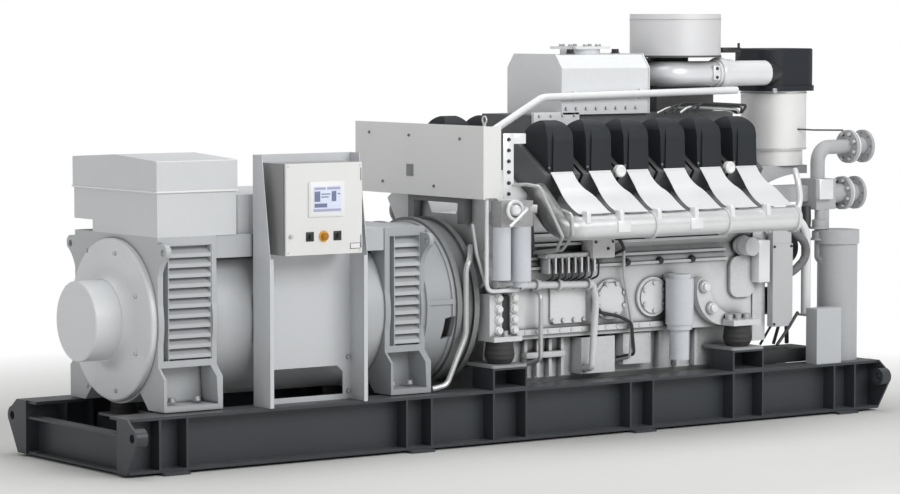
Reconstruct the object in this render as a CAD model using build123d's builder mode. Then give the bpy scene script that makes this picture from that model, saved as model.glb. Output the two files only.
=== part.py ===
from build123d import *
import os
from math import cos, sin, radians, sqrt

os.makedirs("parts", exist_ok=True)

# Skid: X along the set, Y across it, Z up from the floor, all in millimetres
skid_length = 5400
skid_width = 1220
pad_height = 15
pad_length = 160
pad_overhang = 40
beam_height = 300
beam_width = 200
flange = 16
web = 12
stiffener = 12
stiffener_pair = 170
end_plate = 12
pad_stations = (-2410, -803, 803, 2410)
anchor_hole = 22
anchor_inset = 35
cross_height = 196
cross_width = 150
cross_wall = 12
channel_height = 210
channel_depth = 80
channel_wall = 12
boss_diameter = 104
boss_bore = 50
boss_length = 70
boss_offset = 54
boss_height = 218

# Supports of the engine and the generator
engine_mount_stations = (-167, 1627)
engine_mount_y = 505
pedestal_length = 244
pedestal_height = 125
pedestal_wall = 12
seat_plate_length = 250
seat_plate_width = 290
seat_plate_height = 16
engine_mount_height = 130
engine_mount_radius = 88
generator_mount_stations = (-2220, -803)
generator_mount_y = 240
generator_mount_radius = 80
generator_mount_play = 6
generator_seat = 372
generator_plate_height = 14
foot_clearance = 6

# Generator
axis_height = 791
rear_frame_start = -2410
rear_frame_length = 370
drive_frame_start = -930
drive_frame_length = 275
generator_half_width = 450
generator_top = 1262
frame_side_bottom = 560
frame_ring_radius = 462
frame_foot_width = 512
frame_foot_inner = 345
frame_notch_y = 262
frame_notch_z = 405
lug_thickness = 30
lug_bore = 40
foot_pocket_depth = 170
recess_depth = 58
recess_run_out = 20
recess_bottom = 592
recess_top = 1214
louvre_count = 11
louvre_lip = 20
stator_radius = 450
roof_band = 125
shield_radius = 446
drum_radius = 221
drum_length = 160
terminal_length = 498
terminal_seam = 1500
terminal_top = 1680
cable_box_top = 1475

# Housings between generator and engine
coupling_radius = 478
coupling_wall = 30
coupling_end = -455
flywheel_radius = 495
flywheel_end = -300
flywheel_neck = 405
flywheel_bottom = 330

# Control stand and cabinet
stand_start = -1807
stand_width = 642
stand_back = -455
stand_sheet = 4
stand_top = 1695
stand_front_top = -548
stand_front = -626
cabinet_start = -1749
cabinet_width = 500
cabinet_height = 500
cabinet_depth = 216
cabinet_bottom = 1150
cabinet_wall = 3
door_thickness = 18
door_gap = 5
stop_bore = 22
stop_travel = 6

# Engine
bank_tilt = 33
cylinder_pitch = 278
first_cylinder_front = 168
first_cylinder_back = 208
cylinder_count = 6
crankcase_start = -200
crankcase_end = 1810
crankcase_half_width = 420
sump_flange_height = 600
deck_distance = 800
head_height = 190
head_half_width = 165
head_length = 256
cover_length = 184
cover_panel = 144
manifold_y = 818
manifold_height = 1240
manifold_radius = 72
valley_top = 1870
cooler_start = 470
cooler_length = 650
cooler_half_width = 262
cooler_height = 350
duct_x = 1545
duct_radius = 279
duct_wall = 6
duct_bottom = 2212
duct_height = 252
intake_height = 2100
intake_y = -150
intake_radius = 78
filter_x = 2345
filter_radius = 205
filter_bottom = 1617
hood_bottom = 1985
hood_height = 265
hood_width = 412
hood_corner = 120
hood_rim = 34
rim_overhang = 10
coolant_y = -300
flange_radius = 103
flange_bolt_circle = 165
flange_bolts = 8
flange_hole = 18

beam_bottom = pad_height
beam_top = beam_bottom + beam_height
beam_y = skid_width / 2 - beam_width / 2
beam_length = skid_length - 2 * end_plate
beam_inner_face = beam_y - web / 2
anchor_y = skid_width / 2 - anchor_inset
cross_bottom = beam_bottom + flange
cross_top = cross_bottom + cross_height
pedestal_top = beam_top + pedestal_height
mount_bottom = pedestal_top + seat_plate_height
mount_top = mount_bottom + engine_mount_height
generator_bottom = beam_top + foot_clearance
cover_base = deck_distance + head_height


def keep(piece, name):
    """Label one finished sub-part and write it as its own STEP file."""
    piece.part.label = name
    export_step(piece.part, f"parts/{name}.step")


def bank_point(side, across, along):
    """A point of a cylinder bank as (Y, Z): across towards the valley, along the cylinder axis."""
    tilt = radians(bank_tilt)
    y = side * (along * sin(tilt) - across * cos(tilt))
    return (y, axis_height + along * cos(tilt) + across * sin(tilt))


# Side beams: rolled I sections with stiffeners over the pads and under the engine mounts
def side_beam(side):
    mid_y = side * beam_y
    stations = [x + s * stiffener_pair / 2 for x in pad_stations for s in (-1, 1)]
    stations += [x + s * (pedestal_length - stiffener) / 2 for x in engine_mount_stations for s in (-1, 1)]
    with BuildPart() as beam:
        with BuildSketch(Plane.YZ.offset(-beam_length / 2)):
            with Locations((mid_y, beam_bottom + beam_height / 2)):
                Rectangle(web, beam_height)
            with Locations((mid_y, beam_bottom + flange / 2), (mid_y, beam_top - flange / 2)):
                Rectangle(beam_width, flange)
        extrude(amount=beam_length)
        with BuildSketch(Plane.XY.offset(beam_bottom + flange)):
            with Locations(*[(x, mid_y) for x in stations]):
                Rectangle(stiffener, beam_width)
        extrude(amount=beam_height - 2 * flange)
        with Locations(*[(x, side * anchor_y, beam_bottom + flange) for x in pad_stations]):
            Hole(anchor_hole / 2, depth=flange)
    return beam


keep(side_beam(-1), "side_beam_front")
keep(side_beam(1), "side_beam_back")

# Foundation pads: plates under the beams that stand out past the flange and take the anchor bolts
with BuildPart() as foundation_pads:
    pad_width = beam_width + pad_overhang
    with BuildSketch(Plane.XY):
        for side in (-1, 1):
            with Locations(*[(x, side * (skid_width / 2 + pad_overhang - pad_width / 2)) for x in pad_stations]):
                Rectangle(pad_length, pad_width)
            with Locations(*[(x, side * anchor_y) for x in pad_stations]):
                Circle(anchor_hole / 2, mode=Mode.SUBTRACT)
    extrude(amount=pad_height)
keep(foundation_pads, "foundation_pads")


# End beams: channels between the side beams, open to the outside, notched over the bottom flanges
def end_beam(end):
    tip = end * beam_length / 2
    back = end * (beam_length / 2 - channel_depth)
    top = beam_bottom + channel_height
    notch = beam_width / 2 - web / 2
    with BuildPart() as channel:
        with BuildSketch(Plane.XZ.offset(beam_inner_face)):
            Polygon(
                (tip, beam_bottom),
                (back, beam_bottom),
                (back, top),
                (tip, top),
                (tip, top - channel_wall),
                (back + end * channel_wall, top - channel_wall),
                (back + end * channel_wall, beam_bottom + channel_wall),
                (tip, beam_bottom + channel_wall),
            )
        extrude(amount=-2 * beam_inner_face)
        with BuildSketch(Plane.XY.offset(beam_bottom)):
            with Locations(*[((tip + back) / 2, s * (beam_inner_face - notch / 2)) for s in (-1, 1)]):
                Rectangle(channel_depth, notch)
        extrude(amount=flange, mode=Mode.SUBTRACT)
    return channel


keep(end_beam(-1), "end_beam_left")
keep(end_beam(1), "end_beam_right")

# Cross beams: box sections under the generator mounts and the engine mounts
with BuildPart() as cross_beams:
    for x in generator_mount_stations + engine_mount_stations:
        with BuildSketch(Plane.XZ.offset(beam_inner_face)):
            with Locations((x, cross_bottom + cross_height / 2)):
                Rectangle(cross_width, cross_height)
                Rectangle(cross_width - 2 * cross_wall, cross_height - 2 * cross_wall, mode=Mode.SUBTRACT)
        extrude(amount=-2 * beam_inner_face)
keep(cross_beams, "cross_beams")

# Lifting bosses: end plates of the side beams that taper out to a short thick tube
with BuildPart() as lifting_bosses:
    boss_y = skid_width / 2 + boss_offset
    boss_tip = boss_y + boss_diameter / 2 - 8
    for end in (-1, 1):
        plate_start = beam_length / 2 if end > 0 else -skid_length / 2
        tube_start = skid_length / 2 - boss_length if end > 0 else -skid_length / 2
        for side in (-1, 1):
            with BuildSketch(Plane.YZ.offset(plate_start)):
                Polygon(
                    (side * beam_inner_face, beam_bottom),
                    (side * (skid_width / 2 - 10), beam_bottom),
                    (side * boss_tip, boss_height - 25),
                    (side * boss_tip, boss_height + 25),
                    (side * skid_width / 2, beam_top),
                    (side * beam_inner_face, beam_top),
                )
            extrude(amount=end_plate)
            with BuildSketch(Plane.YZ.offset(tube_start)):
                with Locations((side * boss_y, boss_height)):
                    Circle(boss_diameter / 2)
            extrude(amount=boss_length)
            with BuildSketch(Plane.YZ.offset(tube_start)):
                with Locations((side * boss_y, boss_height)):
                    Circle(boss_bore / 2)
            extrude(amount=boss_length, mode=Mode.SUBTRACT)
            with BuildSketch(Plane.XY.offset(beam_bottom)):
                with Locations((end * (beam_length - boss_length) / 2, side * (skid_width / 2 - 50))):
                    Rectangle(boss_length, 2 * 50 + 4)
            extrude(amount=beam_height, mode=Mode.SUBTRACT)
keep(lifting_bosses, "lifting_bosses")

# Engine pedestals: welded boxes on the side beams, open to the outside
with BuildPart() as engine_pedestals:
    for x in engine_mount_stations:
        for side in (-1, 1):
            with BuildSketch(Plane.XY.offset(beam_top)):
                with Locations((x, side * beam_y)):
                    Rectangle(pedestal_length, beam_width)
            extrude(amount=pedestal_height)
            with BuildSketch(Plane.XY.offset(beam_top + pedestal_wall)):
                with Locations((x, side * (beam_y + pedestal_wall))):
                    Rectangle(pedestal_length - 2 * pedestal_wall, beam_width)
            extrude(amount=pedestal_height - 2 * pedestal_wall, mode=Mode.SUBTRACT)
keep(engine_pedestals, "engine_pedestals")

engine_mount_places = [(x, s * engine_mount_y) for x in engine_mount_stations for s in (-1, 1)]
generator_mount_places = [(x, s * generator_mount_y) for x in generator_mount_stations for s in (-1, 1)]

# Seat plates: flat plates on the pedestals and on the cross beams that carry the rubber mounts
with BuildPart() as mount_plates:
    with BuildSketch(Plane.XY.offset(pedestal_top)):
        for x, y in engine_mount_places:
            seat_y = (skid_width - seat_plate_width) / 2
            with Locations((x, seat_y if y > 0 else -seat_y)):
                Rectangle(seat_plate_length, seat_plate_width)
    extrude(amount=seat_plate_height)
    with BuildSketch(Plane.XY.offset(cross_top)):
        with Locations(*generator_mount_places):
            Rectangle(230, 200)
    extrude(amount=generator_plate_height)
    chamfer(mount_plates.edges().filter_by(Axis.Z), 10)
keep(mount_plates, "mount_plates")


def rubber_mounts(places, bottom, height, radius):
    """Bonded rubber mounts: a waisted cone that bulges above its foot, one at each place."""
    with BuildPart() as mounts:
        for x, y in places:
            with BuildSketch(Plane(origin=(x, y, bottom), x_dir=(1, 0, 0), z_dir=(0, -1, 0))):
                with BuildLine():
                    Line((0, 0), (radius * 0.72, 0))
                    ThreePointArc((radius * 0.72, 0), (radius * 0.93, height * 0.2), (radius, height * 0.42))
                    Line((radius, height * 0.42), (radius * 0.88, height))
                    Line((radius * 0.88, height), (0, height))
                    Line((0, height), (0, 0))
                make_face()
            revolve(axis=Axis((x, y, bottom), (0, 0, 1)))
    return mounts


keep(rubber_mounts(engine_mount_places, mount_bottom, engine_mount_height, engine_mount_radius), "engine_mounts")
generator_mount_bottom = cross_top + generator_plate_height
with BuildPart() as generator_mounts:
    with BuildSketch(Plane.XY.offset(generator_mount_bottom)):
        with Locations(*generator_mount_places):
            Circle(generator_mount_radius)
    extrude(amount=generator_seat - generator_mount_bottom, taper=4)
keep(generator_mounts, "generator_mounts")


# Generator end frames: square castings round a ring, with flared feet, foot pockets, side recesses and lugs
def generator_frame(start, length, lug_start):
    half = generator_half_width
    pocket_start = start + 18
    pocket_end = start + length - 30
    with BuildPart() as frame:
        with BuildSketch(Plane.YZ.offset(start)):
            with Locations((0, axis_height)):
                Circle(frame_ring_radius)
            with Locations((0, (frame_side_bottom + generator_top) / 2)):
                Rectangle(2 * half, generator_top - frame_side_bottom)
            for side in (-1, 1):
                Polygon(
                    (side * half, frame_side_bottom),
                    (side * frame_foot_width, frame_side_bottom - 60),
                    (side * frame_foot_width, generator_bottom),
                    (side * frame_foot_inner, generator_bottom),
                    (side * frame_notch_y, frame_notch_z),
                    (side * frame_notch_y, frame_side_bottom),
                )
        extrude(amount=length)
        # seats over the rubber mounts, behind the end wall
        with BuildSketch(Plane.XY.offset(generator_seat)):
            with Locations(*[(start + length / 2 + 15, s * (generator_mount_y + 20)) for s in (-1, 1)]):
                Rectangle(length - 90, 2 * generator_mount_radius + 40)
        extrude(amount=60)
        with BuildSketch(Plane.XY.offset(generator_bottom - 20)):
            with Locations(*[(x, y) for x, y in generator_mount_places if start < x < start + length]):
                Circle(generator_mount_radius + generator_mount_play)
        extrude(amount=generator_seat - generator_bottom + 20, mode=Mode.SUBTRACT)
        # pockets above the foot flanges and louvre recesses, both open to the side
        for side in (-1, 1):
            with BuildSketch(Plane.XZ.offset(-side * (frame_foot_width + 1))):
                Polygon(
                    (pocket_start, generator_bottom + 30),
                    (pocket_end, generator_bottom + 30),
                    (pocket_end - 12, frame_side_bottom - 4),
                    (pocket_start - 4, frame_side_bottom - 4),
                )
            extrude(amount=side * foot_pocket_depth, mode=Mode.SUBTRACT)
            with BuildSketch(Plane.XZ.offset(-side * (half + recess_run_out))):
                with Locations(((start + 34 + pocket_end) / 2, (recess_bottom + recess_top) / 2)):
                    Rectangle(pocket_end - start - 34, recess_top - recess_bottom)
            extrude(amount=side * (recess_depth + recess_run_out), mode=Mode.SUBTRACT)
        # lifting lugs at both upper corners
        for side in (-1, 1):
            with BuildSketch(Plane.YZ.offset(lug_start)):
                with BuildLine():
                    Line((side * half, 1228), (side * 505, 1228))
                    ThreePointArc((side * 505, 1228), (side * 541, 1205), (side * 536, 1160))
                    ThreePointArc((side * 536, 1160), (side * 490, 1122), (side * half, 1052))
                    Line((side * half, 1052), (side * (half - 40), 1052))
                    Line((side * (half - 40), 1052), (side * (half - 40), 1228))
                    Line((side * (half - 40), 1228), (side * half, 1228))
                make_face()
                with Locations((side * 503, 1182)):
                    Circle(lug_bore / 2, mode=Mode.SUBTRACT)
            extrude(amount=lug_thickness)
    return frame


rear_lug_start = rear_frame_start
drive_lug_start = drive_frame_start + drive_frame_length - lug_thickness
keep(generator_frame(rear_frame_start, rear_frame_length, rear_lug_start), "generator_rear_frame")
keep(generator_frame(drive_frame_start, drive_frame_length, drive_lug_start), "generator_drive_frame")


# Louvre units in the recesses of the frames: a back plate, two end plates and inclined blades with a front lip
def louvre_unit(side, start, length):
    low = start + 68
    high = start + length - 30
    floor = generator_half_width - recess_depth
    face = generator_half_width - 4
    sheet = 4
    pitch = (recess_top - recess_bottom - 20) / louvre_count
    with BuildPart() as unit:
        with BuildSketch(Plane.XY.offset(recess_bottom)):
            with Locations(((low + high) / 2, side * (floor + sheet / 2))):
                Rectangle(high - low, sheet)
            with Locations(*[(x, side * (floor + face) / 2) for x in (low + sheet / 2, high - sheet / 2)]):
                Rectangle(sheet, face - floor)
        extrude(amount=recess_top - recess_bottom)
        with BuildSketch(Plane.YZ.offset(low + sheet)):
            for n in range(louvre_count):
                z = recess_bottom + 10 + n * pitch
                Polygon(
                    (side * face, z),
                    (side * face, z + louvre_lip),
                    (side * (floor + sheet), z + pitch),
                    (side * (floor + sheet), z + pitch - sheet),
                    (side * (face - sheet), z + louvre_lip - sheet),
                    (side * (face - sheet), z),
                )
        extrude(amount=high - low - 2 * sheet)
    return unit


louvre_units = [
    louvre_unit(side, start, length).part
    for side in (-1, 1)
    for start, length in ((rear_frame_start, rear_frame_length), (drive_frame_start, drive_frame_length))
]
with BuildPart() as louvre_covers:
    add(louvre_units)
keep(louvre_covers, "louvre_covers")

# Stator housing: a barrel under a flat roof box
stator_start = rear_frame_start + rear_frame_length
with BuildPart() as stator_housing:
    with BuildSketch(Plane.YZ.offset(stator_start)):
        with Locations((0, axis_height)):
            Circle(stator_radius)
        with Locations((0, generator_top - roof_band / 2)):
            Rectangle(2 * generator_half_width - 12, roof_band)
    extrude(amount=drive_frame_start - stator_start)
keep(stator_housing, "stator_housing")

# End shield: a flat ring that sweeps up into the hub, turned about the shaft axis
shield_x = rear_frame_start
hub_x = shield_x - 90
with BuildPart() as end_shield:
    with BuildSketch(Plane.XZ):
        with BuildLine():
            Polyline(
                (hub_x, axis_height),
                (shield_x, axis_height),
                (shield_x, axis_height + shield_radius),
                (shield_x - 30, axis_height + shield_radius),
                (shield_x - 36, axis_height + shield_radius - 8),
                (shield_x - 40, axis_height + drum_radius + 90),
            )
            ThreePointArc(
                (shield_x - 40, axis_height + drum_radius + 90),
                (shield_x - 56, axis_height + drum_radius + 30),
                (hub_x, axis_height + drum_radius + 6),
            )
            Line((hub_x, axis_height + drum_radius + 6), (hub_x, axis_height))
        make_face()
    revolve(axis=Axis((0, 0, axis_height), (1, 0, 0)))
keep(end_shield, "end_shield")

with BuildPart() as bearing_cover:
    with BuildSketch(Plane.YZ.offset(hub_x - drum_length)):
        with Locations((0, axis_height)):
            Circle(drum_radius)
    extrude(amount=drum_length)
    chamfer(bearing_cover.faces().sort_by(Axis.X)[0].edges(), 5)
keep(bearing_cover, "bearing_cover")

# Terminal box: lower box with an undercut far corner, and a lid that falls to both sides from a low ridge
terminal_side = 455
with BuildPart() as terminal_box:
    with BuildSketch(Plane.YZ.offset(rear_frame_start)):
        Polygon(
            (-generator_half_width, generator_top),
            (-generator_half_width, terminal_seam),
            (terminal_side, terminal_seam),
            (terminal_side, 1327),
            (250, 1327),
            (250, generator_top),
        )
    extrude(amount=terminal_length)
keep(terminal_box, "terminal_box")

with BuildPart() as terminal_lid:
    with BuildSketch(Plane.YZ.offset(rear_frame_start - 6)):
        Polygon(
            (-generator_half_width - 6, terminal_seam),
            (-generator_half_width - 6, terminal_top - 8),
            (0, terminal_top + 16),
            (terminal_side + 6, terminal_top - 8),
            (terminal_side + 6, terminal_seam),
        )
    extrude(amount=terminal_length + 12)
    chamfer(terminal_lid.edges().filter_by(Axis.X).sort_by(Axis.Z)[-3:], 4)
keep(terminal_lid, "terminal_lid")

with BuildPart() as cable_box:
    with BuildSketch(Plane.XY.offset(generator_top)):
        with Locations((-1565, 0)):
            Rectangle(620, 800)
    extrude(amount=cable_box_top - generator_top)
    chamfer(cable_box.edges().filter_by(Axis.Z), 8)
keep(cable_box, "cable_box")

# Coupling housing: a shell with end flanges, a joint strip on each side and an inspection slot
coupling_start = drive_frame_start + drive_frame_length
with BuildPart() as coupling_housing:
    with BuildSketch(Plane.YZ.offset(coupling_start)):
        with Locations((0, axis_height)):
            Circle(coupling_radius - 12)
        with Locations(*[(s * (coupling_radius - 12), axis_height + 35) for s in (-1, 1)]):
            Rectangle(24, 28)
        with Locations((0, axis_height)):
            Circle(coupling_radius - 12 - coupling_wall, mode=Mode.SUBTRACT)
    extrude(amount=coupling_end - coupling_start)
    for x in (coupling_start, coupling_end - 22):
        with BuildSketch(Plane.YZ.offset(x)):
            with Locations((0, axis_height)):
                Circle(coupling_radius)
                Circle(coupling_radius - 12 - coupling_wall, mode=Mode.SUBTRACT)
        extrude(amount=22)
    with BuildSketch(Plane.XZ.offset(coupling_radius)):
        Polygon((-532, 608), (-468, 622), (-456, 744), (-520, 730))
    extrude(amount=-150, mode=Mode.SUBTRACT)
keep(coupling_housing, "coupling_housing")

# Flywheel housing: a round casting with a groove, cut flat underneath, and its neck towards the crankcase
with BuildPart() as flywheel_housing:
    with BuildSketch(Plane.YZ.offset(coupling_end)):
        with Locations((0, axis_height)):
            Circle(flywheel_radius)
    extrude(amount=flywheel_end - coupling_end)
    with BuildSketch(Plane.YZ.offset(coupling_end + 34)):
        with Locations((0, axis_height)):
            Circle(flywheel_radius + 1)
            Circle(flywheel_radius - 18, mode=Mode.SUBTRACT)
    extrude(amount=86, mode=Mode.SUBTRACT)
    with BuildSketch(Plane.YZ.offset(flywheel_end)):
        with Locations((0, axis_height)):
            Circle(flywheel_neck)
    extrude(amount=crankcase_start - flywheel_end)
    with BuildSketch(Plane.YZ.offset(coupling_end)):
        with Locations((0, flywheel_bottom - flywheel_radius)):
            Rectangle(2 * flywheel_radius, 2 * flywheel_radius)
    extrude(amount=crankcase_start - coupling_end, mode=Mode.SUBTRACT)
keep(flywheel_housing, "flywheel_housing")

# Crankcase: V block with inclined banks, longitudinal ribs on its walls and a valley between the banks
wall_ribs = ((424, 985), (406, 1040), (424, 1120), (462, 1180))
rib_end = 1600
rail_start = -40
rail_end = 1300
with BuildPart() as crankcase:
    with BuildSketch(Plane.YZ.offset(crankcase_start)):
        Polygon(
            (-crankcase_half_width, sump_flange_height),
            (-crankcase_half_width, 1000),
            (-388, 1076),
            bank_point(-1, -head_half_width - 10, deck_distance),
            bank_point(-1, head_half_width + 10, deck_distance),
            (-120, 1300),
            (120, 1300),
            bank_point(1, head_half_width + 10, deck_distance),
            bank_point(1, -head_half_width - 10, deck_distance),
            (388, 1076),
            (crankcase_half_width, 1000),
            (crankcase_half_width, sump_flange_height),
        )
    extrude(amount=crankcase_end - crankcase_start)
    with BuildSketch(Plane.YZ.offset(crankcase_start + 90)):
        for side in (-1, 1):
            with Locations(*[(side * y, z) for y, z in wall_ribs]):
                Rectangle(36, 16)
    extrude(amount=rib_end - crankcase_start - 90)
    with BuildSketch(Plane.YZ.offset(rail_start)):
        with Locations(*[(s * (crankcase_half_width + 8), sump_flange_height + 16) for s in (-1, 1)]):
            Rectangle(40, 32)
    extrude(amount=rail_end - rail_start)
keep(crankcase, "crankcase")

# Crankcase covers: two round covers and one flat door on each side
with BuildPart() as crankcase_covers:
    for side in (-1, 1):
        wall = Plane.XZ.offset(-side * crankcase_half_width)
        with BuildSketch(wall):
            with Locations((694, 780), (1018, 780)):
                Circle(118)
        extrude(amount=-side * 22)
        with BuildSketch(wall.offset(-side * 22)):
            with Locations((694, 780), (1018, 780)):
                Circle(98)
        extrude(amount=-side * 11)
        with BuildSketch(wall):
            with Locations((385, 770)):
                RectangleRounded(260, 230, 30)
        extrude(amount=-side * 14)
keep(crankcase_covers, "crankcase_covers")

# Oil sump: narrow trough under the flange, with ribs and boxed covers on its walls
with BuildPart() as oil_sump:
    with BuildSketch(Plane.YZ.offset(crankcase_start + 60)):
        Polygon(
            (-crankcase_half_width, sump_flange_height),
            (-crankcase_half_width, sump_flange_height - 26),
            (-318, sump_flange_height - 40),
            (-300, 330),
            (-220, 250),
            (220, 250),
            (300, 330),
            (318, sump_flange_height - 40),
            (crankcase_half_width, sump_flange_height - 26),
            (crankcase_half_width, sump_flange_height),
        )
    extrude(amount=crankcase_end - crankcase_start - 80)
    for side in (-1, 1):
        with BuildSketch(Plane.XY.offset(340)):
            with Locations(*[(x, side * 320) for x in (140, 230, 320, 410, 1150, 1290, 1430)]):
                Rectangle(22, 60)
        extrude(amount=sump_flange_height - 380)
        with BuildSketch(Plane.XY.offset(345)):
            with Locations((625, side * 350)):
                Rectangle(250, 130)
        extrude(amount=215)
        with BuildSketch(Plane.XY.offset(380)):
            with Locations((935, side * 340)):
                Rectangle(210, 110)
        extrude(amount=185)
keep(oil_sump, "oil_sump")

# Canister filters: the oil filter on the crankcase wall and two fuel filters that hang under one head block
oil_filter_x = 1147
oil_filter_y = -536
fuel_filter_y = -650
fuel_filters = ((-259, 53, 950), (-123, 60, 939))
fuel_head_bottom = 1254
fuel_head_height = 146
with BuildPart() as canister_filters:
    for bottom, height, radius in ((405, 180, 60), (585, 30, 76), (615, 275, 84), (890, 26, 70)):
        with BuildSketch(Plane.XY.offset(bottom)):
            with Locations((oil_filter_x, oil_filter_y)):
                Circle(radius)
        extrude(amount=height)
    with BuildSketch(Plane.XY.offset(872)):
        with Locations((oil_filter_x + 10, (oil_filter_y - crankcase_half_width) / 2)):
            Rectangle(80, -oil_filter_y - crankcase_half_width)
    extrude(amount=40)
    for x, radius, bottom in fuel_filters:
        with BuildSketch(Plane.XY.offset(bottom)):
            with Locations((x, fuel_filter_y)):
                Circle(radius)
        extrude(amount=fuel_head_bottom - bottom)
    with BuildSketch(Plane.XY.offset(905)):
        with Locations((fuel_filters[1][0], fuel_filter_y)):
            Circle(45)
    extrude(amount=fuel_filters[1][2] - 905)
    with BuildSketch(Plane.XY.offset(fuel_head_bottom)):
        with Locations((-185, fuel_filter_y)):
            Rectangle(224, 100)
    extrude(amount=fuel_head_height)
    with BuildSketch(Plane.XZ.offset(-fuel_filter_y + 50)):
        with Locations((-195, 1335)):
            Circle(50)
    extrude(amount=36)
    # strap from the head block to the end face of the crankcase
    with BuildSketch(Plane.YZ.offset(crankcase_start - 12)):
        with Locations((-545, 1290)):
            Rectangle(210, 60)
    extrude(amount=12)
keep(canister_filters, "canister_filters")


def cylinder_places(side):
    """X positions of one bank's cylinders."""
    first = first_cylinder_front if side < 0 else first_cylinder_back
    return [first + n * cylinder_pitch for n in range(cylinder_count)]


# Cylinder heads: one block for each cylinder, stepped at its gasket face
def cylinder_heads(side):
    with BuildPart() as heads:
        for x in cylinder_places(side):
            with BuildSketch(Plane.YZ.offset(x - head_length / 2)):
                Polygon(
                    bank_point(side, -head_half_width, deck_distance),
                    bank_point(side, -head_half_width, deck_distance + 60),
                    bank_point(side, -head_half_width + 14, deck_distance + 72),
                    bank_point(side, -head_half_width + 14, cover_base),
                    bank_point(side, head_half_width, cover_base),
                    bank_point(side, head_half_width, deck_distance),
                )
            extrude(amount=head_length)
    return heads


panel_foot = bank_point(-1, -146, cover_base - 1)
panel_head = (-650, 1716)


# Rocker covers: domed hoods with a raised front panel that narrows towards the top
def rocker_cover():
    front = 640
    crown = (522, 1850)
    with BuildPart() as hood:
        with BuildSketch(Plane.YZ.offset(-cover_length / 2)):
            with BuildLine():
                foot = bank_point(-1, -130, cover_base)
                heel = bank_point(-1, 160, cover_base)
                Line(heel, foot)
                Line(foot, (-front, 1715))
                ThreePointArc((-front, 1715), (-602, 1818), (-crown[0], crown[1]))
                ThreePointArc((-crown[0], crown[1]), (-455, 1822), heel)
            make_face()
        extrude(amount=cover_length)
        with BuildSketch(Plane.XZ.offset(front + 60)):
            with BuildLine():
                low, high = 1500, 1740
                half, roof = cover_length / 2, 44
                Line((-half, low), (half, low))
                Line((half, low), (half, high))
                ThreePointArc((half, high), (half - 10, 1812), (roof, crown[1] + 4))
                Line((roof, crown[1] + 4), (-roof, crown[1] + 4))
                ThreePointArc((-roof, crown[1] + 4), (10 - half, 1812), (-half, high))
                Line((-half, high), (-half, low))
            make_face()
        extrude(amount=-400, mode=Mode.INTERSECT)
    with BuildPart() as panel:
        with BuildSketch(Plane.YZ.offset(-cover_panel / 2)):
            with BuildLine():
                inner = bank_point(-1, -60, cover_base + 1)
                Line(inner, panel_foot)
                Line(panel_foot, panel_head)
                ThreePointArc(panel_head, (-636, 1778), (-600, 1812))
                Line((-600, 1812), inner)
            make_face()
        extrude(amount=cover_panel)
        with BuildSketch(Plane.XZ.offset(front + 60)):
            with BuildLine():
                half = cover_panel / 2
                Line((-half, 1500), (half, 1500))
                Line((half, 1500), (half - 16, 1745))
                ThreePointArc((half - 16, 1745), (0, 1806), (16 - half, 1745))
                Line((16 - half, 1745), (-half, 1500))
            make_face()
        extrude(amount=-200, mode=Mode.INTERSECT)
        with BuildSketch(Plane.YZ.offset(-cover_panel / 2)):
            Polygon(
                bank_point(-1, -200, cover_base),
                bank_point(-1, 200, cover_base),
                bank_point(-1, 200, cover_base - 80),
                bank_point(-1, -200, cover_base - 80),
            )
        extrude(amount=cover_panel, mode=Mode.SUBTRACT)
    with BuildPart() as cover:
        add(hood.part)
        add(panel.part)
    return cover


# Heat shields: formed sheets that lie against the panel of the cover and sweep out and down over the pipe
def heat_shield():
    sheet = 3
    slope = (panel_head[0] - panel_foot[0]) / (panel_head[1] - panel_foot[1])
    lip = [(panel_foot[0] + slope * (z - panel_foot[1]), z) for z in (1556, 1547)]
    shoulder = (-669, 1541)
    bend = (-708, 1462)
    low = (-manifold_y - 26, manifold_height + manifold_radius + 8)
    with BuildPart() as shield:
        with BuildSketch(Plane.YZ.offset(-140)):
            with BuildLine():
                Polyline(lip[0], lip[1], shoulder, bend)
                ThreePointArc(bend, (-752, 1382), low)
                Line(low, (low[0] - 1, low[1] + sheet))
                ThreePointArc((low[0] - 1, low[1] + sheet), (-755, 1384), (bend[0] - sheet, bend[1] + 1))
                Polyline(
                    (bend[0] - sheet, bend[1] + 1),
                    (shoulder[0] - sheet, shoulder[1] + 2),
                    (lip[1][0] - sheet, lip[1][1] + 2),
                    (lip[0][0] - sheet, lip[0][1]),
                    lip[0],
                )
            make_face()
        extrude(amount=400)
        with BuildSketch(Plane.XZ.offset(-low[0] + 40)):
            with BuildLine():
                Polyline((-14, 1300), (-86, 1545), (-86, 1570), (74, 1570), (74, 1545))
                ThreePointArc((74, 1545), (104, 1475), (146, 1440))
                ThreePointArc((146, 1440), (188, 1400), (206, 1300))
                Line((206, 1300), (-14, 1300))
            make_face()
        extrude(amount=-300, mode=Mode.INTERSECT)
    return shield


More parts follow.
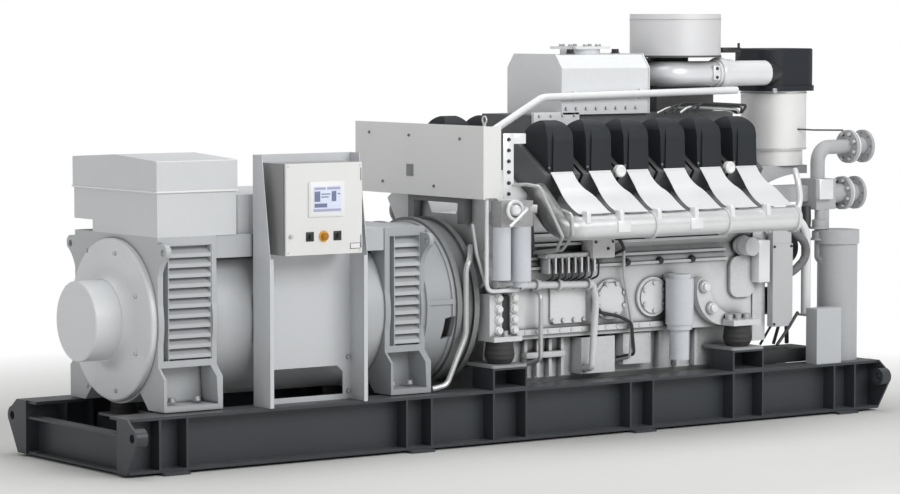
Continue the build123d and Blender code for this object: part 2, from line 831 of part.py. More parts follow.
# Exhaust pipes along the outside of the banks, with a branch from each head, joint rings and an elbow at the start
def exhaust_pipe(side):
    y = side * manifold_y
    elbow_x = 26
    end = 1775
    head_face = -head_half_width + 14
    with BuildPart() as pipe:
        with BuildLine():
            FilletPolyline(
                (end, y, manifold_height),
                (elbow_x, y, manifold_height),
                (elbow_x, side * 590, 1440),
                radius=92,
            )
        with BuildSketch(Plane(origin=(end, y, manifold_height), z_dir=(-1, 0, 0))):
            Circle(manifold_radius)
        sweep()
        for x in cylinder_places(side):
            with BuildSketch(Plane.YZ.offset(x + 20)):
                Polygon(
                    bank_point(side, -head_half_width + 30, deck_distance + 4),
                    bank_point(side, -head_half_width + 30, deck_distance + 50),
                    (side * (manifold_y - 12), manifold_height + 62),
                    (side * (manifold_y - 66), manifold_height - 10),
                )
            extrude(amount=90)
        for x in [first_cylinder_front + (n + 0.83) * cylinder_pitch for n in (1, 3)] + [end]:
            with BuildSketch(Plane.YZ.offset(x)):
                with Locations((y, manifold_height)):
                    Circle(manifold_radius + 12)
            extrude(amount=22)
        # every branch ends on the outside of the bank
        with BuildSketch(Plane.YZ.offset(crankcase_start)):
            Polygon(
                (0, 1000),
                (side * crankcase_half_width, 1000),
                (side * 388, 1076),
                bank_point(side, -head_half_width - 10, deck_distance),
                bank_point(side, -head_half_width, deck_distance),
                bank_point(side, -head_half_width, deck_distance + 60),
                bank_point(side, head_face, deck_distance + 72),
                bank_point(side, head_face, deck_distance + 200),
                (0, 1600),
            )
        extrude(amount=crankcase_end - crankcase_start, mode=Mode.SUBTRACT)
    return pipe


def both_banks(maker, name, at_cylinders):
    """Keep one node for both banks: the far bank mirrors the near one and is set along by its own offset."""
    if at_cylinders:
        near = maker().part
        far = mirror(near, about=Plane.XZ)
        with BuildPart() as pair:
            with Locations(*[(x, 0, 0) for x in cylinder_places(-1)]):
                add(near)
            with Locations(*[(x, 0, 0) for x in cylinder_places(1)]):
                add(far)
    else:
        near = maker(-1).part
        far = maker(1).part
        with BuildPart() as pair:
            add(near)
            add(far)
    keep(pair, name)


both_banks(cylinder_heads, "cylinder_heads", False)
both_banks(rocker_cover, "rocker_covers", True)
both_banks(heat_shield, "heat_shields", True)
both_banks(exhaust_pipe, "exhaust_manifolds", False)

# Rear engine brackets: a foot with two upright flanges and a web against the crankcase
with BuildPart() as rear_engine_brackets:
    x = engine_mount_stations[0]
    for side in (-1, 1):
        outer = crankcase_half_width + 115
        with BuildSketch(Plane.XY.offset(mount_top)):
            with Locations((x + 8, side * (crankcase_half_width + outer + 45) / 2)):
                Rectangle(200, outer + 45 - crankcase_half_width)
        extrude(amount=28)
        with BuildSketch(Plane.XY.offset(mount_top + 28)):
            with Locations((x - 48, side * (crankcase_half_width + outer) / 2)):
                Rectangle(88, outer - crankcase_half_width)
            with Locations((x + 82, side * (crankcase_half_width + outer) / 2)):
                Rectangle(52, outer - crankcase_half_width)
            with Locations((x + 8, side * (crankcase_half_width + 25))):
                Rectangle(190, 50)
        extrude(amount=240)
keep(rear_engine_brackets, "rear_engine_brackets")

# Front engine brackets: cast arms that curve down from two bosses on the crankcase to the mount
with BuildPart() as front_engine_brackets:
    x = engine_mount_stations[1]
    for side in (-1, 1):
        with BuildSketch(Plane.XZ.offset(-side * crankcase_half_width)):
            with BuildLine():
                Line((x + 110, mount_top), (x - 110, mount_top))
                ThreePointArc((x - 110, mount_top), (x - 232, mount_top + 62), (x - 300, mount_top + 240))
                ThreePointArc((x - 300, mount_top + 240), (x - 252, mount_top + 292), (x - 204, mount_top + 240))
                ThreePointArc((x - 204, mount_top + 240), (x - 130, mount_top + 110), (x + 20, mount_top + 60))
                Line((x + 20, mount_top + 60), (x + 110, mount_top + 50))
                Line((x + 110, mount_top + 50), (x + 110, mount_top))
            make_face()
        extrude(amount=-side * 62)
        with BuildSketch(Plane.XY.offset(mount_top)):
            with Locations((x, side * (engine_mount_y + 5))):
                Rectangle(210, 170)
        extrude(amount=34)
        with BuildSketch(Plane.XZ.offset(-side * (crankcase_half_width + 62))):
            with Locations((x - 252, mount_top + 240), (x - 196, mount_top + 108)):
                Circle(36)
        extrude(amount=-side * 16)
keep(front_engine_brackets, "front_engine_brackets")

# Valley housing: the casting between the banks that carries the cooler and the turbochargers
with BuildPart() as valley_housing:
    with BuildSketch(Plane.YZ.offset(250)):
        Polygon((-118, 1301), (-236, 1560), (-236, valley_top), (236, valley_top), (236, 1560), (118, 1301))
    extrude(amount=1560)
keep(valley_housing, "valley_housing")

# Charge air cooler: a box with sloped shoulders, a rolled rim at both ends and an apron down the near end
cooler_top = valley_top + cooler_height
with BuildPart() as charge_air_cooler:
    profile = (
        (-cooler_half_width, valley_top),
        (-cooler_half_width, cooler_top - 78),
        (-cooler_half_width + 62, cooler_top),
        (cooler_half_width - 62, cooler_top),
        (cooler_half_width, cooler_top - 78),
        (cooler_half_width, valley_top),
    )
    with BuildSketch(Plane.YZ.offset(cooler_start)):
        Polygon(*profile)
    extrude(amount=cooler_length)
    for rim in (cooler_start - 8, cooler_start + cooler_length):
        with BuildSketch(Plane.YZ.offset(rim)) as rim_sketch:
            Polygon(*profile)
            offset(amount=7, kind=Kind.INTERSECTION)
            with Locations((0, valley_top - 50)):
                Rectangle(900, 100, mode=Mode.SUBTRACT)
        extrude(amount=8)
keep(charge_air_cooler, "charge_air_cooler")

cooler_neck_x = 805
with BuildPart() as cooler_flange:
    with BuildSketch(Plane.XY.offset(cooler_top)):
        with Locations((cooler_neck_x, 0)):
            Circle(120)
    extrude(amount=34)
    with BuildSketch(Plane.XY.offset(cooler_top + 34)):
        with Locations((cooler_neck_x, 0)):
            RectangleRounded(270, 270, 20)
    extrude(amount=16)
keep(cooler_flange, "cooler_flange")

# Turbocharger block behind the intake pipe, with the compressor at its end and the neck of the exhaust duct
compressor_x = 1265
turbo_base = 250
with BuildPart() as turbocharger_block:
    with BuildSketch(Plane.XY.offset(valley_top)):
        with Locations((1585, 85)):
            Rectangle(450, 270)
    extrude(amount=turbo_base)
    with BuildSketch(Plane.XY.offset(valley_top + turbo_base)):
        with Locations((duct_x, 70)):
            Circle(125)
    extrude(amount=duct_bottom - 12 - valley_top - turbo_base)
    with BuildSketch(Plane.XY.offset(duct_bottom - 12)):
        with Locations((duct_x, 0)):
            Circle(duct_radius + 4)
    extrude(amount=12)
    with BuildSketch(Plane.XZ.offset(10)):
        with Locations((compressor_x, intake_height)):
            Circle(108)
    extrude(amount=-210)
keep(turbocharger_block, "turbocharger_block")

# Exhaust outlet: a round sheet duct, open at the top
with BuildPart() as exhaust_outlet:
    with BuildSketch(Plane.XY.offset(duct_bottom)):
        with Locations((duct_x, 0)):
            Circle(duct_radius)
            Circle(duct_radius - duct_wall, mode=Mode.SUBTRACT)
    extrude(amount=duct_height)
    with BuildSketch(Plane.XY.offset(duct_bottom)):
        with Locations((duct_x, 0)):
            Circle(duct_radius - duct_wall)
    extrude(amount=6)
keep(exhaust_outlet, "exhaust_outlet")

# Air filter: a rounded hood with a rim over a round canister, carried by a bracket from the gear case
with BuildPart() as air_filter_hood:
    with BuildSketch(Plane.XY.offset(hood_bottom)):
        with Locations((filter_x, 0)):
            RectangleRounded(hood_width + 2 * rim_overhang, hood_width + 2 * rim_overhang, hood_corner + rim_overhang)
    extrude(amount=hood_rim)
    with BuildSketch(Plane.XY.offset(hood_bottom + hood_rim)):
        with Locations((filter_x, 0)):
            RectangleRounded(hood_width, hood_width, hood_corner)
    extrude(amount=hood_height - hood_rim)
    chamfer(air_filter_hood.faces().sort_by(Axis.Z)[-1].edges(), 7)
keep(air_filter_hood, "air_filter_hood")

with BuildPart() as air_filter_canister:
    with BuildSketch(Plane.XY.offset(filter_bottom)):
        with Locations((filter_x, 0)):
            Circle(filter_radius)
    extrude(amount=hood_bottom - filter_bottom)
    with BuildSketch(Plane.XY.offset(filter_bottom - 97)):
        with Locations((filter_x, 0)):
            Circle(filter_radius - 22)
    extrude(amount=97)
keep(air_filter_canister, "air_filter_canister")

# Intake pipe: from the compressor round into a straight run along the duct's foot to the hood
with BuildPart() as intake_pipe:
    with BuildLine():
        FilletPolyline(
            (compressor_x, -10, intake_height),
            (compressor_x, intake_y, intake_height),
            (filter_x, intake_y, intake_height),
            radius=120,
        )
    with BuildSketch(Plane(origin=(compressor_x, -10, intake_height), z_dir=(0, -1, 0))):
        Circle(intake_radius)
    sweep()
    with BuildSketch(Plane.YZ.offset(1712)):
        with Locations((intake_y, intake_height)):
            Circle(intake_radius + 20)
    extrude(amount=78)
    with BuildSketch(Plane.XZ.offset(10)):
        with Locations((compressor_x, intake_height)):
            Circle(intake_radius + 14)
    extrude(amount=16)
    with BuildSketch(Plane.XY.offset(hood_bottom)):
        with Locations((filter_x, 0)):
            RectangleRounded(hood_width, hood_width, hood_corner)
    extrude(amount=hood_height, mode=Mode.SUBTRACT)
keep(intake_pipe, "intake_pipe")

gear_case_length = 100
gear_end = crankcase_end + gear_case_length

# Pipes on the engine: the crossover along the cooler, a fuel line under the filters and the coolant down-pipe
crossover_y = -cooler_half_width - 32
crossover_radius = 22
fuel_line_radius = 12
fuel_line_y = -610
down_pipe_radius = 30
down_pipe_y = -395
down_pipe_x = 2274
down_pipe_foot = 612
with BuildPart() as engine_pipes:
    with BuildLine():
        FilletPolyline(
            (-260, crossover_y, 1735),
            (-160, crossover_y, 1735),
            (300, crossover_y, 1975),
            (1790, crossover_y, 2000),
            radius=150,
        )
    with BuildSketch(Plane(origin=(-260, crossover_y, 1735), z_dir=(1, 0, 0))):
        Circle(crossover_radius)
    sweep()
    with BuildSketch(Plane.XZ.offset(cooler_half_width)):
        with Locations((560, 1979), (1060, 1987)):
            Rectangle(30, 60)
    extrude(amount=14)
    with BuildLine():
        FilletPolyline(
            (-335, fuel_line_y, 1412),
            (-335, fuel_line_y, 884),
            (-92, fuel_line_y, 884),
            (-92, -crankcase_half_width, 884),
            radius=45,
        )
    with BuildSketch(Plane(origin=(-335, fuel_line_y, 1412), z_dir=(0, 0, -1))):
        Circle(fuel_line_radius)
    sweep()
    with BuildLine():
        FilletPolyline(
            (gear_end, down_pipe_y, 1215),
            (down_pipe_x, down_pipe_y, 1215),
            (down_pipe_x, down_pipe_y, down_pipe_foot),
            radius=150,
        )
    with BuildSketch(Plane(origin=(gear_end, down_pipe_y, 1215), z_dir=(1, 0, 0))):
        Circle(down_pipe_radius)
    sweep()
keep(engine_pipes, "engine_pipes")

# Gear case at the free end, with a raised ring round the damper
gear_ring = 305
with BuildPart() as gear_case:
    with BuildSketch(Plane.YZ.offset(crankcase_end)):
        Polygon(
            (-430, 470),
            (-430, 1260),
            (-300, 1400),
            (-200, 1470),
            (200, 1470),
            (300, 1400),
            (430, 1260),
            (430, 470),
        )
    extrude(amount=gear_case_length)
    with BuildSketch(Plane.YZ.offset(gear_end)):
        with Locations((0, axis_height)):
            Circle(gear_ring)
    extrude(amount=26)
keep(gear_case, "gear_case")

with BuildPart() as damper_cover:
    with BuildSketch(Plane.YZ.offset(gear_end + 26)):
        with Locations((0, axis_height)):
            Circle(285)
    extrude(amount=80, taper=8)
    with BuildSketch(Plane.YZ.offset(gear_end + 106)):
        with Locations((0, axis_height)):
            Circle(110)
    extrude(amount=44)
keep(damper_cover, "damper_cover")

with BuildPart() as filter_support:
    support_end = filter_x + 150
    with BuildSketch(Plane.XZ.offset(150)):
        with BuildLine():
            Line((crankcase_end + 20, filter_bottom - 97), (support_end, filter_bottom - 97))
            Line((support_end, filter_bottom - 97), (support_end, filter_bottom - 150))
            ThreePointArc((support_end, filter_bottom - 150), (gear_end + 170, 1370), (gear_end, 1240))
            Line((gear_end, 1240), (gear_end, 1470))
            Line((gear_end, 1470), (crankcase_end + 20, 1470))
            Line((crankcase_end + 20, 1470), (crankcase_end + 20, filter_bottom - 97))
        make_face()
    extrude(amount=-300)
keep(filter_support, "filter_support")

# Auxiliary motor on a rounded housing at the end of the crankcase wall
with BuildPart() as auxiliary_motor:
    wall = Plane.XZ.offset(crankcase_half_width)
    with BuildSketch(wall):
        with Locations((1712, 870)):
            RectangleRounded(190, 250, 60)
        with Locations((1722, 1056)):
            Circle(64)
    extrude(amount=30)
    with BuildSketch(wall.offset(30)):
        with Locations((1722, 1056)):
            Circle(56)
    extrude(amount=84)
keep(auxiliary_motor, "auxiliary_motor")

# Junction box at the free end: a tall flat box with a smaller one on top and a deeper one behind
box_front = -500
box_back = -450
with BuildPart() as junction_box:
    with BuildSketch(Plane.XZ.offset(-box_back)):
        with Locations((1993, 807)):
            Rectangle(160, 506)
    extrude(amount=box_back - box_front)
    with BuildSketch(Plane.XZ.offset(-box_back)):
        with Locations((1993, 1110)):
            Rectangle(150, 100)
    extrude(amount=box_back - box_front - 8)
    with BuildSketch(Plane.XZ.offset(-box_back)):
        with Locations(((gear_end + 2060) / 2, 948)):
            Rectangle(2060 - gear_end, 256)
    extrude(amount=-130)
keep(junction_box, "junction_box")

# Long cabinet across the flywheel end, with a cover plate, and the frame that carries it
with BuildPart() as long_cabinet:
    with BuildSketch(Plane.XY.offset(1418)):
        with Locations((-316, 0)):
            Rectangle(112, 1290)
    extrude(amount=404)
    with BuildSketch(Plane.XY.offset(1412)):
        with Locations((-379, 0)):
            Rectangle(14, 1296)
    extrude(amount=416)
keep(long_cabinet, "long_cabinet")

with BuildPart() as cabinet_bracket:
    with BuildSketch(Plane.YZ.offset(-260)):
        with Locations((0, 1500)):
            Rectangle(560, 260)
        for side in (-1, 1):
            with Locations((side * 250, 1330)):
                Rectangle(60, 160)
    extrude(amount=12)
    for side in (-1, 1):
        with BuildSketch(Plane.XZ.offset(-side * 280)):
            Polygon((-248, 1258), (-248, 1620), (-236, 1620), (crankcase_start, 1490), (crankcase_start, 1258))
        extrude(amount=side * 60)
keep(cabinet_bracket, "cabinet_bracket")

# Control stand: bent sheet, a back panel with a cut-out, two side plates that deepen downwards and front lips
with BuildPart() as control_stand:
    with BuildSketch(Plane.XZ.offset(-stand_back)):
        with Locations((stand_start + stand_width / 2, (beam_top + stand_top) / 2)):
            Rectangle(stand_width, stand_top - beam_top)
        Polygon((-1697, 345), (-1221, 345), (-1221, 470), (-1260, 506), (-1697, 506), mode=Mode.SUBTRACT)
    extrude(amount=stand_sheet)
    for x, inward in ((stand_start, 1), (stand_start + stand_width, -1)):
        with BuildSketch(Plane.YZ.offset(x)):
            Polygon(
                (stand_back, beam_top),
                (stand_front, beam_top),
                (stand_front, cabinet_bottom - 20),
                (stand_front_top, stand_top - 20),
                (stand_front_top, stand_top),
                (stand_back, stand_top),
            )
        extrude(amount=inward * stand_sheet)
        with BuildSketch(Plane.XZ.offset(-stand_front - stand_sheet)):
            with Locations((x + inward * 12, (beam_top + cabinet_bottom - 20) / 2)):
                Rectangle(24, cabinet_bottom - 20 - beam_top)
        extrude(amount=stand_sheet)
keep(control_stand, "control_stand")

# Control cabinet: open sheet box that the door closes
cabinet_back = stand_back - stand_sheet
cabinet_front = cabinet_back - cabinet_depth
cabinet_centre = (cabinet_start + cabinet_width / 2, cabinet_bottom + cabinet_height / 2)
with BuildPart() as control_cabinet:
    with BuildSketch(Plane.XZ.offset(-cabinet_back)):
        with Locations(cabinet_centre):
            Rectangle(cabinet_width, cabinet_height)
    extrude(amount=cabinet_depth)
    with BuildSketch(Plane.XZ.offset(-cabinet_back + cabinet_wall)):
        with Locations(cabinet_centre):
            Rectangle(cabinet_width - 2 * cabinet_wall, cabinet_height - 2 * cabinet_wall)
    extrude(amount=cabinet_depth, mode=Mode.SUBTRACT)
keep(control_cabinet, "control_cabinet")

door_back = cabinet_front - door_gap
door_face = door_back - door_thickness
switch_z = cabinet_bottom + 100
stop_x = cabinet_start + 244
switch_x = (cabinet_start + 154, cabinet_start + 334)
control_gap = 0.5
with BuildPart() as cabinet_door:
    with BuildSketch(Plane.XZ.offset(-door_back)):
        with Locations(cabinet_centre):
            Rectangle(cabinet_width, cabinet_height)
    extrude(amount=door_thickness)
    fillet(cabinet_door.edges().filter_by(Axis.Z), 5)
    with BuildSketch(Plane.XZ.offset(-door_back)):
        with Locations((stop_x, switch_z)):
            Circle(stop_bore / 2)
    extrude(amount=door_thickness, mode=Mode.SUBTRACT)
keep(cabinet_door, "cabinet_door")

with BuildPart() as display:
    with BuildSketch(Plane.XZ.offset(-door_face)):
        with Locations((cabinet_start + 261, cabinet_bottom + 303)):
            RectangleRounded(235, 193, 8)
    extrude(amount=8)
keep(display, "display")

# Selector switches: a round base with a grip bar, just off the door so that they turn freely
for name, x in (("left_switch", switch_x[0]), ("right_switch", switch_x[1])):
    with BuildPart() as switch:
        with BuildSketch(Plane.XZ.offset(-door_face + control_gap)):
            with Locations((x, switch_z)):
                Circle(15)
        extrude(amount=6)
        with BuildSketch(Plane.XZ.offset(-door_face + control_gap + 6)):
            with Locations((x, switch_z)):
                Rectangle(9, 27)
        extrude(amount=9)
    keep(switch, name)

with BuildPart() as stop_collar:
    with BuildSketch(Plane.XZ.offset(-door_face)):
        with Locations((stop_x, switch_z)):
            Circle(31)
            Circle(stop_bore / 2, mode=Mode.SUBTRACT)
    extrude(amount=4)
keep(stop_collar, "stop_collar")

# Stop button: a mushroom head on a stem that runs in the bore of the door
with BuildPart() as stop_button:
    with BuildSketch(Plane.XZ.offset(-door_face + control_gap)):
        with Locations((stop_x, switch_z)):
            Circle(stop_bore / 2 - 1)
    extrude(amount=stop_travel + 4)
    with BuildSketch(Plane.XZ.offset(-door_face + control_gap + stop_travel + 4)):
        with Locations((stop_x, switch_z)):
            Circle(20)
    extrude(amount=18)
    chamfer(stop_button.faces().sort_by(Axis.Y)[0].edges(), 5)
keep(stop_button, "stop_button")

# Coolant column on the skid, with its cap
column_x = 2530
column_y = -400
column_radius = 125
cap_bottom = 1040
cap_height = 85
with BuildPart() as coolant_column:
    with BuildSketch(Plane.XY.offset(beam_top)):
        with Locations((column_x, column_y)):
            Circle(column_radius)
    extrude(amount=cap_bottom - beam_top)
    with BuildSketch(Plane.XY.offset(cap_bottom)):
        with Locations((column_x, column_y)):
            Circle(column_radius + 11)
    extrude(amount=cap_height)
keep(coolant_column, "coolant_column")

upper_connection = 1635
lower_connection = 1345
riser_x = 2450
riser_foot = 1440


# Upper coolant pipe: an elbow, an expansion joint between two flanges and the open plant flange
with BuildPart() as upper_coolant_pipe:
    with BuildLine():
        FilletPolyline(
            (riser_x, coolant_y, riser_foot),
            (riser_x, coolant_y, upper_connection),
            (2690, coolant_y, upper_connection),
            radius=90,
        )
    with BuildSketch(Plane.XY.offset(riser_foot)):
        with Locations((riser_x, coolant_y)):
            Circle(45)
    sweep()
    for x, length, radius in ((2690, 36, flange_radius), (2726, 90, 55), (2816, 22, flange_radius)):
        with BuildSketch(Plane.YZ.offset(x)):
            with Locations((coolant_y, upper_connection)):
                Circle(radius)
        extrude(amount=length)
    with BuildSketch(Plane.YZ.offset(2838)):
        with Locations((coolant_y, upper_connection)):
            Circle(40)
    extrude(amount=-120, mode=Mode.SUBTRACT)
    with BuildSketch(Plane.YZ.offset(2838)):
        with Locations((coolant_y, upper_connection)):
            with PolarLocations(flange_bolt_circle / 2, flange_bolts):
                Circle(flange_hole / 2)
    extrude(amount=-22, mode=Mode.SUBTRACT)
keep(upper_coolant_pipe, "upper_coolant_pipe")

# Coolant block: the thermostat body with its arm to the filter bracket, the lower connection and a leg to the column
with BuildPart() as coolant_block:
    with BuildSketch(Plane.XY.offset(1250)):
        with Locations((2460, -290)):
            Rectangle(160, 160)
    extrude(amount=riser_foot - 1250)
    with BuildSketch(Plane.XY.offset(1300)):
        with Locations((2205, -220)):
            Rectangle(350, 140)
    extrude(amount=100)
    for x, length, radius in ((2540, 210, 60), (2640, 36, flange_radius), (2750, 22, flange_radius)):
        with BuildSketch(Plane.YZ.offset(x)):
            with Locations((coolant_y, lower_connection)):
                Circle(radius)
        extrude(amount=length)
    with BuildSketch(Plane.YZ.offset(2772)):
        with Locations((coolant_y, lower_connection)):
            Circle(42)
    extrude(amount=-120, mode=Mode.SUBTRACT)
    with BuildSketch(Plane.YZ.offset(2772)):
        with Locations((coolant_y, lower_connection)):
            with PolarLocations(flange_bolt_circle / 2, flange_bolts):
                Circle(flange_hole / 2)
    extrude(amount=-22, mode=Mode.SUBTRACT)
    with BuildSketch(Plane.XY.offset(cap_bottom + cap_height)):
        with Locations((2460, -340)):
            Circle(40)
    extrude(amount=1250 - cap_bottom - cap_height)
keep(coolant_block, "coolant_block")

# Small box on the skid, with a bracket plate behind it that holds the foot of the down-pipe
small_box_back = -500
with BuildPart() as small_box:
    with BuildSketch(Plane.XY.offset(beam_top)):
        with Locations((2286, small_box_back - 50)):
            Rectangle(200, 100)
    extrude(amount=343)
    with BuildSketch(Plane.XY.offset(down_pipe_foot - 12)):
        with Locations((down_pipe_x, (small_box_back + down_pipe_y + down_pipe_radius) / 2)):
            Rectangle(90, down_pipe_y + down_pipe_radius - small_box_back)
    extrude(amount=12)
keep(small_box, "small_box")
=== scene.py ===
from math import cos, radians, sin
import bpy
from mathutils import Matrix, Vector


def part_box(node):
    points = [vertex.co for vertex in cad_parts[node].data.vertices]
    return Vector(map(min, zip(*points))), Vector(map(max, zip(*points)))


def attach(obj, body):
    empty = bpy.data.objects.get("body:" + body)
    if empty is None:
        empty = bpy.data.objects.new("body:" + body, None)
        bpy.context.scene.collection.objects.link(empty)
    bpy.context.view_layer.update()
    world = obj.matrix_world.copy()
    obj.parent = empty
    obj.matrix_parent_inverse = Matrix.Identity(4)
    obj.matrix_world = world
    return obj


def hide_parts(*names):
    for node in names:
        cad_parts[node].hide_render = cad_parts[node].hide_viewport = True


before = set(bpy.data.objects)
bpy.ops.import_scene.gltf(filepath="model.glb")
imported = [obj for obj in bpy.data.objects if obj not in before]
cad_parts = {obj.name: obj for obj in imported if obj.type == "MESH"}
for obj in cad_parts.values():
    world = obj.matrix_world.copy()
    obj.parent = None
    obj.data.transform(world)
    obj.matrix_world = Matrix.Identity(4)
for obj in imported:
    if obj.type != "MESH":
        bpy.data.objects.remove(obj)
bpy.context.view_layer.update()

# The camera stands in front of the generator's end of the set, at standing height. Its long lens
# is far from the set, so that the far end looks nearly as tall as the near one.
bpy.ops.object.select_all(action="DESELECT")
bpy.ops.object.camera_add(location=(-11.633, -16.024, 2.440), rotation=(radians(86.107), 0, radians(-35.613)))
camera = bpy.context.object
camera.data.lens = 134.65
camera.data.sensor_width = 36
camera.data.clip_end = 200
bpy.context.scene.camera = camera


# The studio: a pale seamless floor that turns to plain white away from the set, three large soft
# lamps (front, over the set, and a weaker one at the generator's end) and an even pale surround.
class Value:
    """One number of a material, which plain sums can be written with."""

    def __init__(self, finish, socket):
        self.finish, self.socket = finish, socket

    def _sum(self, operation, first, second):
        return self.finish.node("ShaderNodeMath", {"operation": operation}, {0: first, 1: second})

    def __add__(self, other):
        return self._sum("ADD", self, other)

    def __mul__(self, other):
        return self._sum("MULTIPLY", self, other)

    __radd__, __rmul__ = __add__, __mul__


class Finish:
    """A surface of the set: its shader's steady sockets are set by name, the rest is fed by nodes."""

    def __init__(self, name, **steady):
        self.material = bpy.data.materials.new(name)
        self.material.use_nodes = True
        self.tree = self.material.node_tree
        self.shader = self.tree.nodes["Principled BSDF"]
        for socket, number in steady.items():
            self.shader.inputs[socket.replace("_", " ")].default_value = number
        self.place = self.node("ShaderNodeTexCoord", {}, {}, "Object")

    def node(self, kind, settings, values, output=0):
        made = self.tree.nodes.new(kind)
        for setting, value in settings.items():
            setattr(made, setting, value)
        for socket, value in values.items():
            self.feed(made.inputs[socket], value)
        return Value(self, made.outputs[output])

    def feed(self, socket, value):
        if isinstance(value, Value):
            self.tree.links.new(value.socket, socket)
        else:
            socket.default_value = value

    def noise(self, scale, detail=3.0, stretch=(1, 1, 1)):
        place = self.node("ShaderNodeMapping", {}, {"Vector": self.place, "Scale": stretch})
        return self.node("ShaderNodeTexNoise", {}, {"Vector": place, "Scale": scale, "Detail": detail})

    def between(self, value, low, high):
        return self.node("ShaderNodeMapRange", {}, {0: value, 1: low, 2: high, 3: 0.0, 4: 1.0})

    def mix(self, share, first, second):
        first, second = [(*c, 1.0) if isinstance(c, tuple) else c for c in (first, second)]
        return self.node("ShaderNodeMix", {"data_type": "RGBA"}, {0: share, 6: first, 7: second}, 2)

    def height(self, value, deep, strength=1.0):
        return self.node("ShaderNodeBump", {}, {"Height": value, "Distance": deep, "Strength": strength})

    def shade(self, **fed):
        for socket, value in fed.items():
            self.feed(self.shader.inputs[socket.replace("_", " ")], value)
        return self.material


def upward(finish):
    """How far a surface faces up: 1 on a top, 0 on a wall."""
    normal = finish.node("ShaderNodeNewGeometry", {}, {}, "Normal")
    return finish.node("ShaderNodeSeparateXYZ", {}, {0: normal}, "Z")


studio_white = Finish("studio_white", Roughness=0.9)
shaded_to, white_from = 2.9, 5.6
distance = studio_white.node("ShaderNodeVectorMath", {"operation": "LENGTH"}, {0: studio_white.place}, 1)
away = studio_white.between(distance, shaded_to, white_from)
pale = studio_white.mix(studio_white.noise(0.4), (0.62, 0.62, 0.605), (0.66, 0.66, 0.645))
studio_white.shade(Base_Color=pale)
plain = studio_white.node("ShaderNodeEmission", {}, {"Color": (1, 1, 1, 1), "Strength": 1.0})
shaded = Value(studio_white, studio_white.shader.outputs[0])
joined = studio_white.node("ShaderNodeMixShader", {}, {0: away, 1: shaded, 2: plain})
studio_white.feed(studio_white.tree.nodes["Material Output"].inputs["Surface"], joined)
bpy.ops.mesh.primitive_plane_add(size=90)
floor = bpy.context.object
floor.name = "studio_floor"
floor.data.materials.append(studio_white.material)

aim = Vector((0, 0, 1.0))
front_lamp = ((1.5, -9.5, 6.2), (9, 5), 680)
top_lamp = ((0, 0.5, 8.0), (9, 5), 390)
end_lamp = ((-9.5, -1.0, 3.5), (4, 4), 45)
for at, size, power in (front_lamp, top_lamp, end_lamp):
    bpy.ops.object.light_add(type="AREA", location=at)
    lamp = bpy.context.object
    lamp.data.shape = "RECTANGLE"
    lamp.data.size, lamp.data.size_y = size
    lamp.data.energy = power
    lamp.rotation_euler = (aim - Vector(at)).to_track_quat("-Z", "Y").to_euler()

surround = bpy.data.worlds.new("surround")
bpy.context.scene.world = surround
surround.use_nodes = True
tree = surround.node_tree
path = tree.nodes.new("ShaderNodeLightPath")
seen = tree.nodes.new("ShaderNodeMath")
seen.operation = "MAXIMUM"
tree.links.new(path.outputs["Is Camera Ray"], seen.inputs[0])
tree.links.new(path.outputs["Is Transmission Ray"], seen.inputs[1])
lit = tree.nodes.new("ShaderNodeMapRange")
light_on_set, white_in_view = 0.35, 1.0
lit.inputs[3].default_value = light_on_set
lit.inputs[4].default_value = white_in_view
tree.links.new(seen.outputs[0], lit.inputs[0])
tree.links.new(lit.outputs[0], tree.nodes["Background"].inputs["Strength"])
tree.nodes["Background"].inputs["Color"].default_value = (1, 1, 1, 1)
bpy.context.scene.view_settings.view_transform = "Standard"


# The skid: rolled steel beams welded to end plates, with cross beams, pads and lifting bosses.
# Shot-blasted and sprayed in semi-gloss anthracite; a little dust lies on what faces up.
def coat(material, *nodes):
    """Gives CAD nodes their finish."""
    for name in nodes:
        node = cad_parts[name]
        if not node.material_slots:
            node.data.materials.append(material)
        for each in node.material_slots:
            each.material = material


def painted_corner_shade(finish, tone, reach):
    """Painted shade: darkens the corners and gaps of a surface, where shade falls."""
    shade_tone, least, most = (0.022, 0.022, 0.023), 0.40, 0.86
    clear = finish.node("ShaderNodeAmbientOcclusion", {"samples": 6}, {"Distance": reach}, "AO")
    ragged = clear + finish.noise(25.0, 4.0) * 0.10
    return finish.mix(finish.between(ragged, least, most), shade_tone, tone)


def paint(name, colour, rough, shift=0.06, grain=0.0004, dust=0.0, corner_shade_reach=0.0, **steady):
    """Sprayed paint: slow drift of tone, fine peel in the gloss, dust on tops and painted shade in corners."""
    finish = Finish(name, **steady)
    drift = finish.noise(1.7, 4.0)
    fleck = finish.noise(55.0, 5.0)
    low = tuple(c * (1 - shift) for c in colour)
    high = tuple(c * (1 + shift) for c in colour)
    tone = finish.mix(finish.between(drift * 0.6 + fleck * 0.4, 0.35, 0.65), low, high)
    if dust:
        lying = finish.between(upward(finish), 0.6, 1.0) * (finish.noise(6.0, 6.0) * dust)
        tone = finish.mix(lying, tone, (0.42, 0.42, 0.41))
    if corner_shade_reach:
        tone = painted_corner_shade(finish, tone, corner_shade_reach)
    gloss = fleck * 0.14 + (rough - 0.07)
    peel = finish.noise(420.0, 2.0)
    return finish.shade(Base_Color=tone, Roughness=gloss, Normal=finish.height(peel, grain))


skid_paint = paint("skid_paint", (0.042, 0.047, 0.055), 0.40, shift=0.10, dust=0.25)
coat(skid_paint, "side_beam_front", "side_beam_back", "end_beam_left", "end_beam_right", "cross_beams",
     "foundation_pads", "lifting_bosses", "engine_pedestals")
coat(paint("plate_paint", (0.30, 0.31, 0.32), 0.45), "mount_plates")


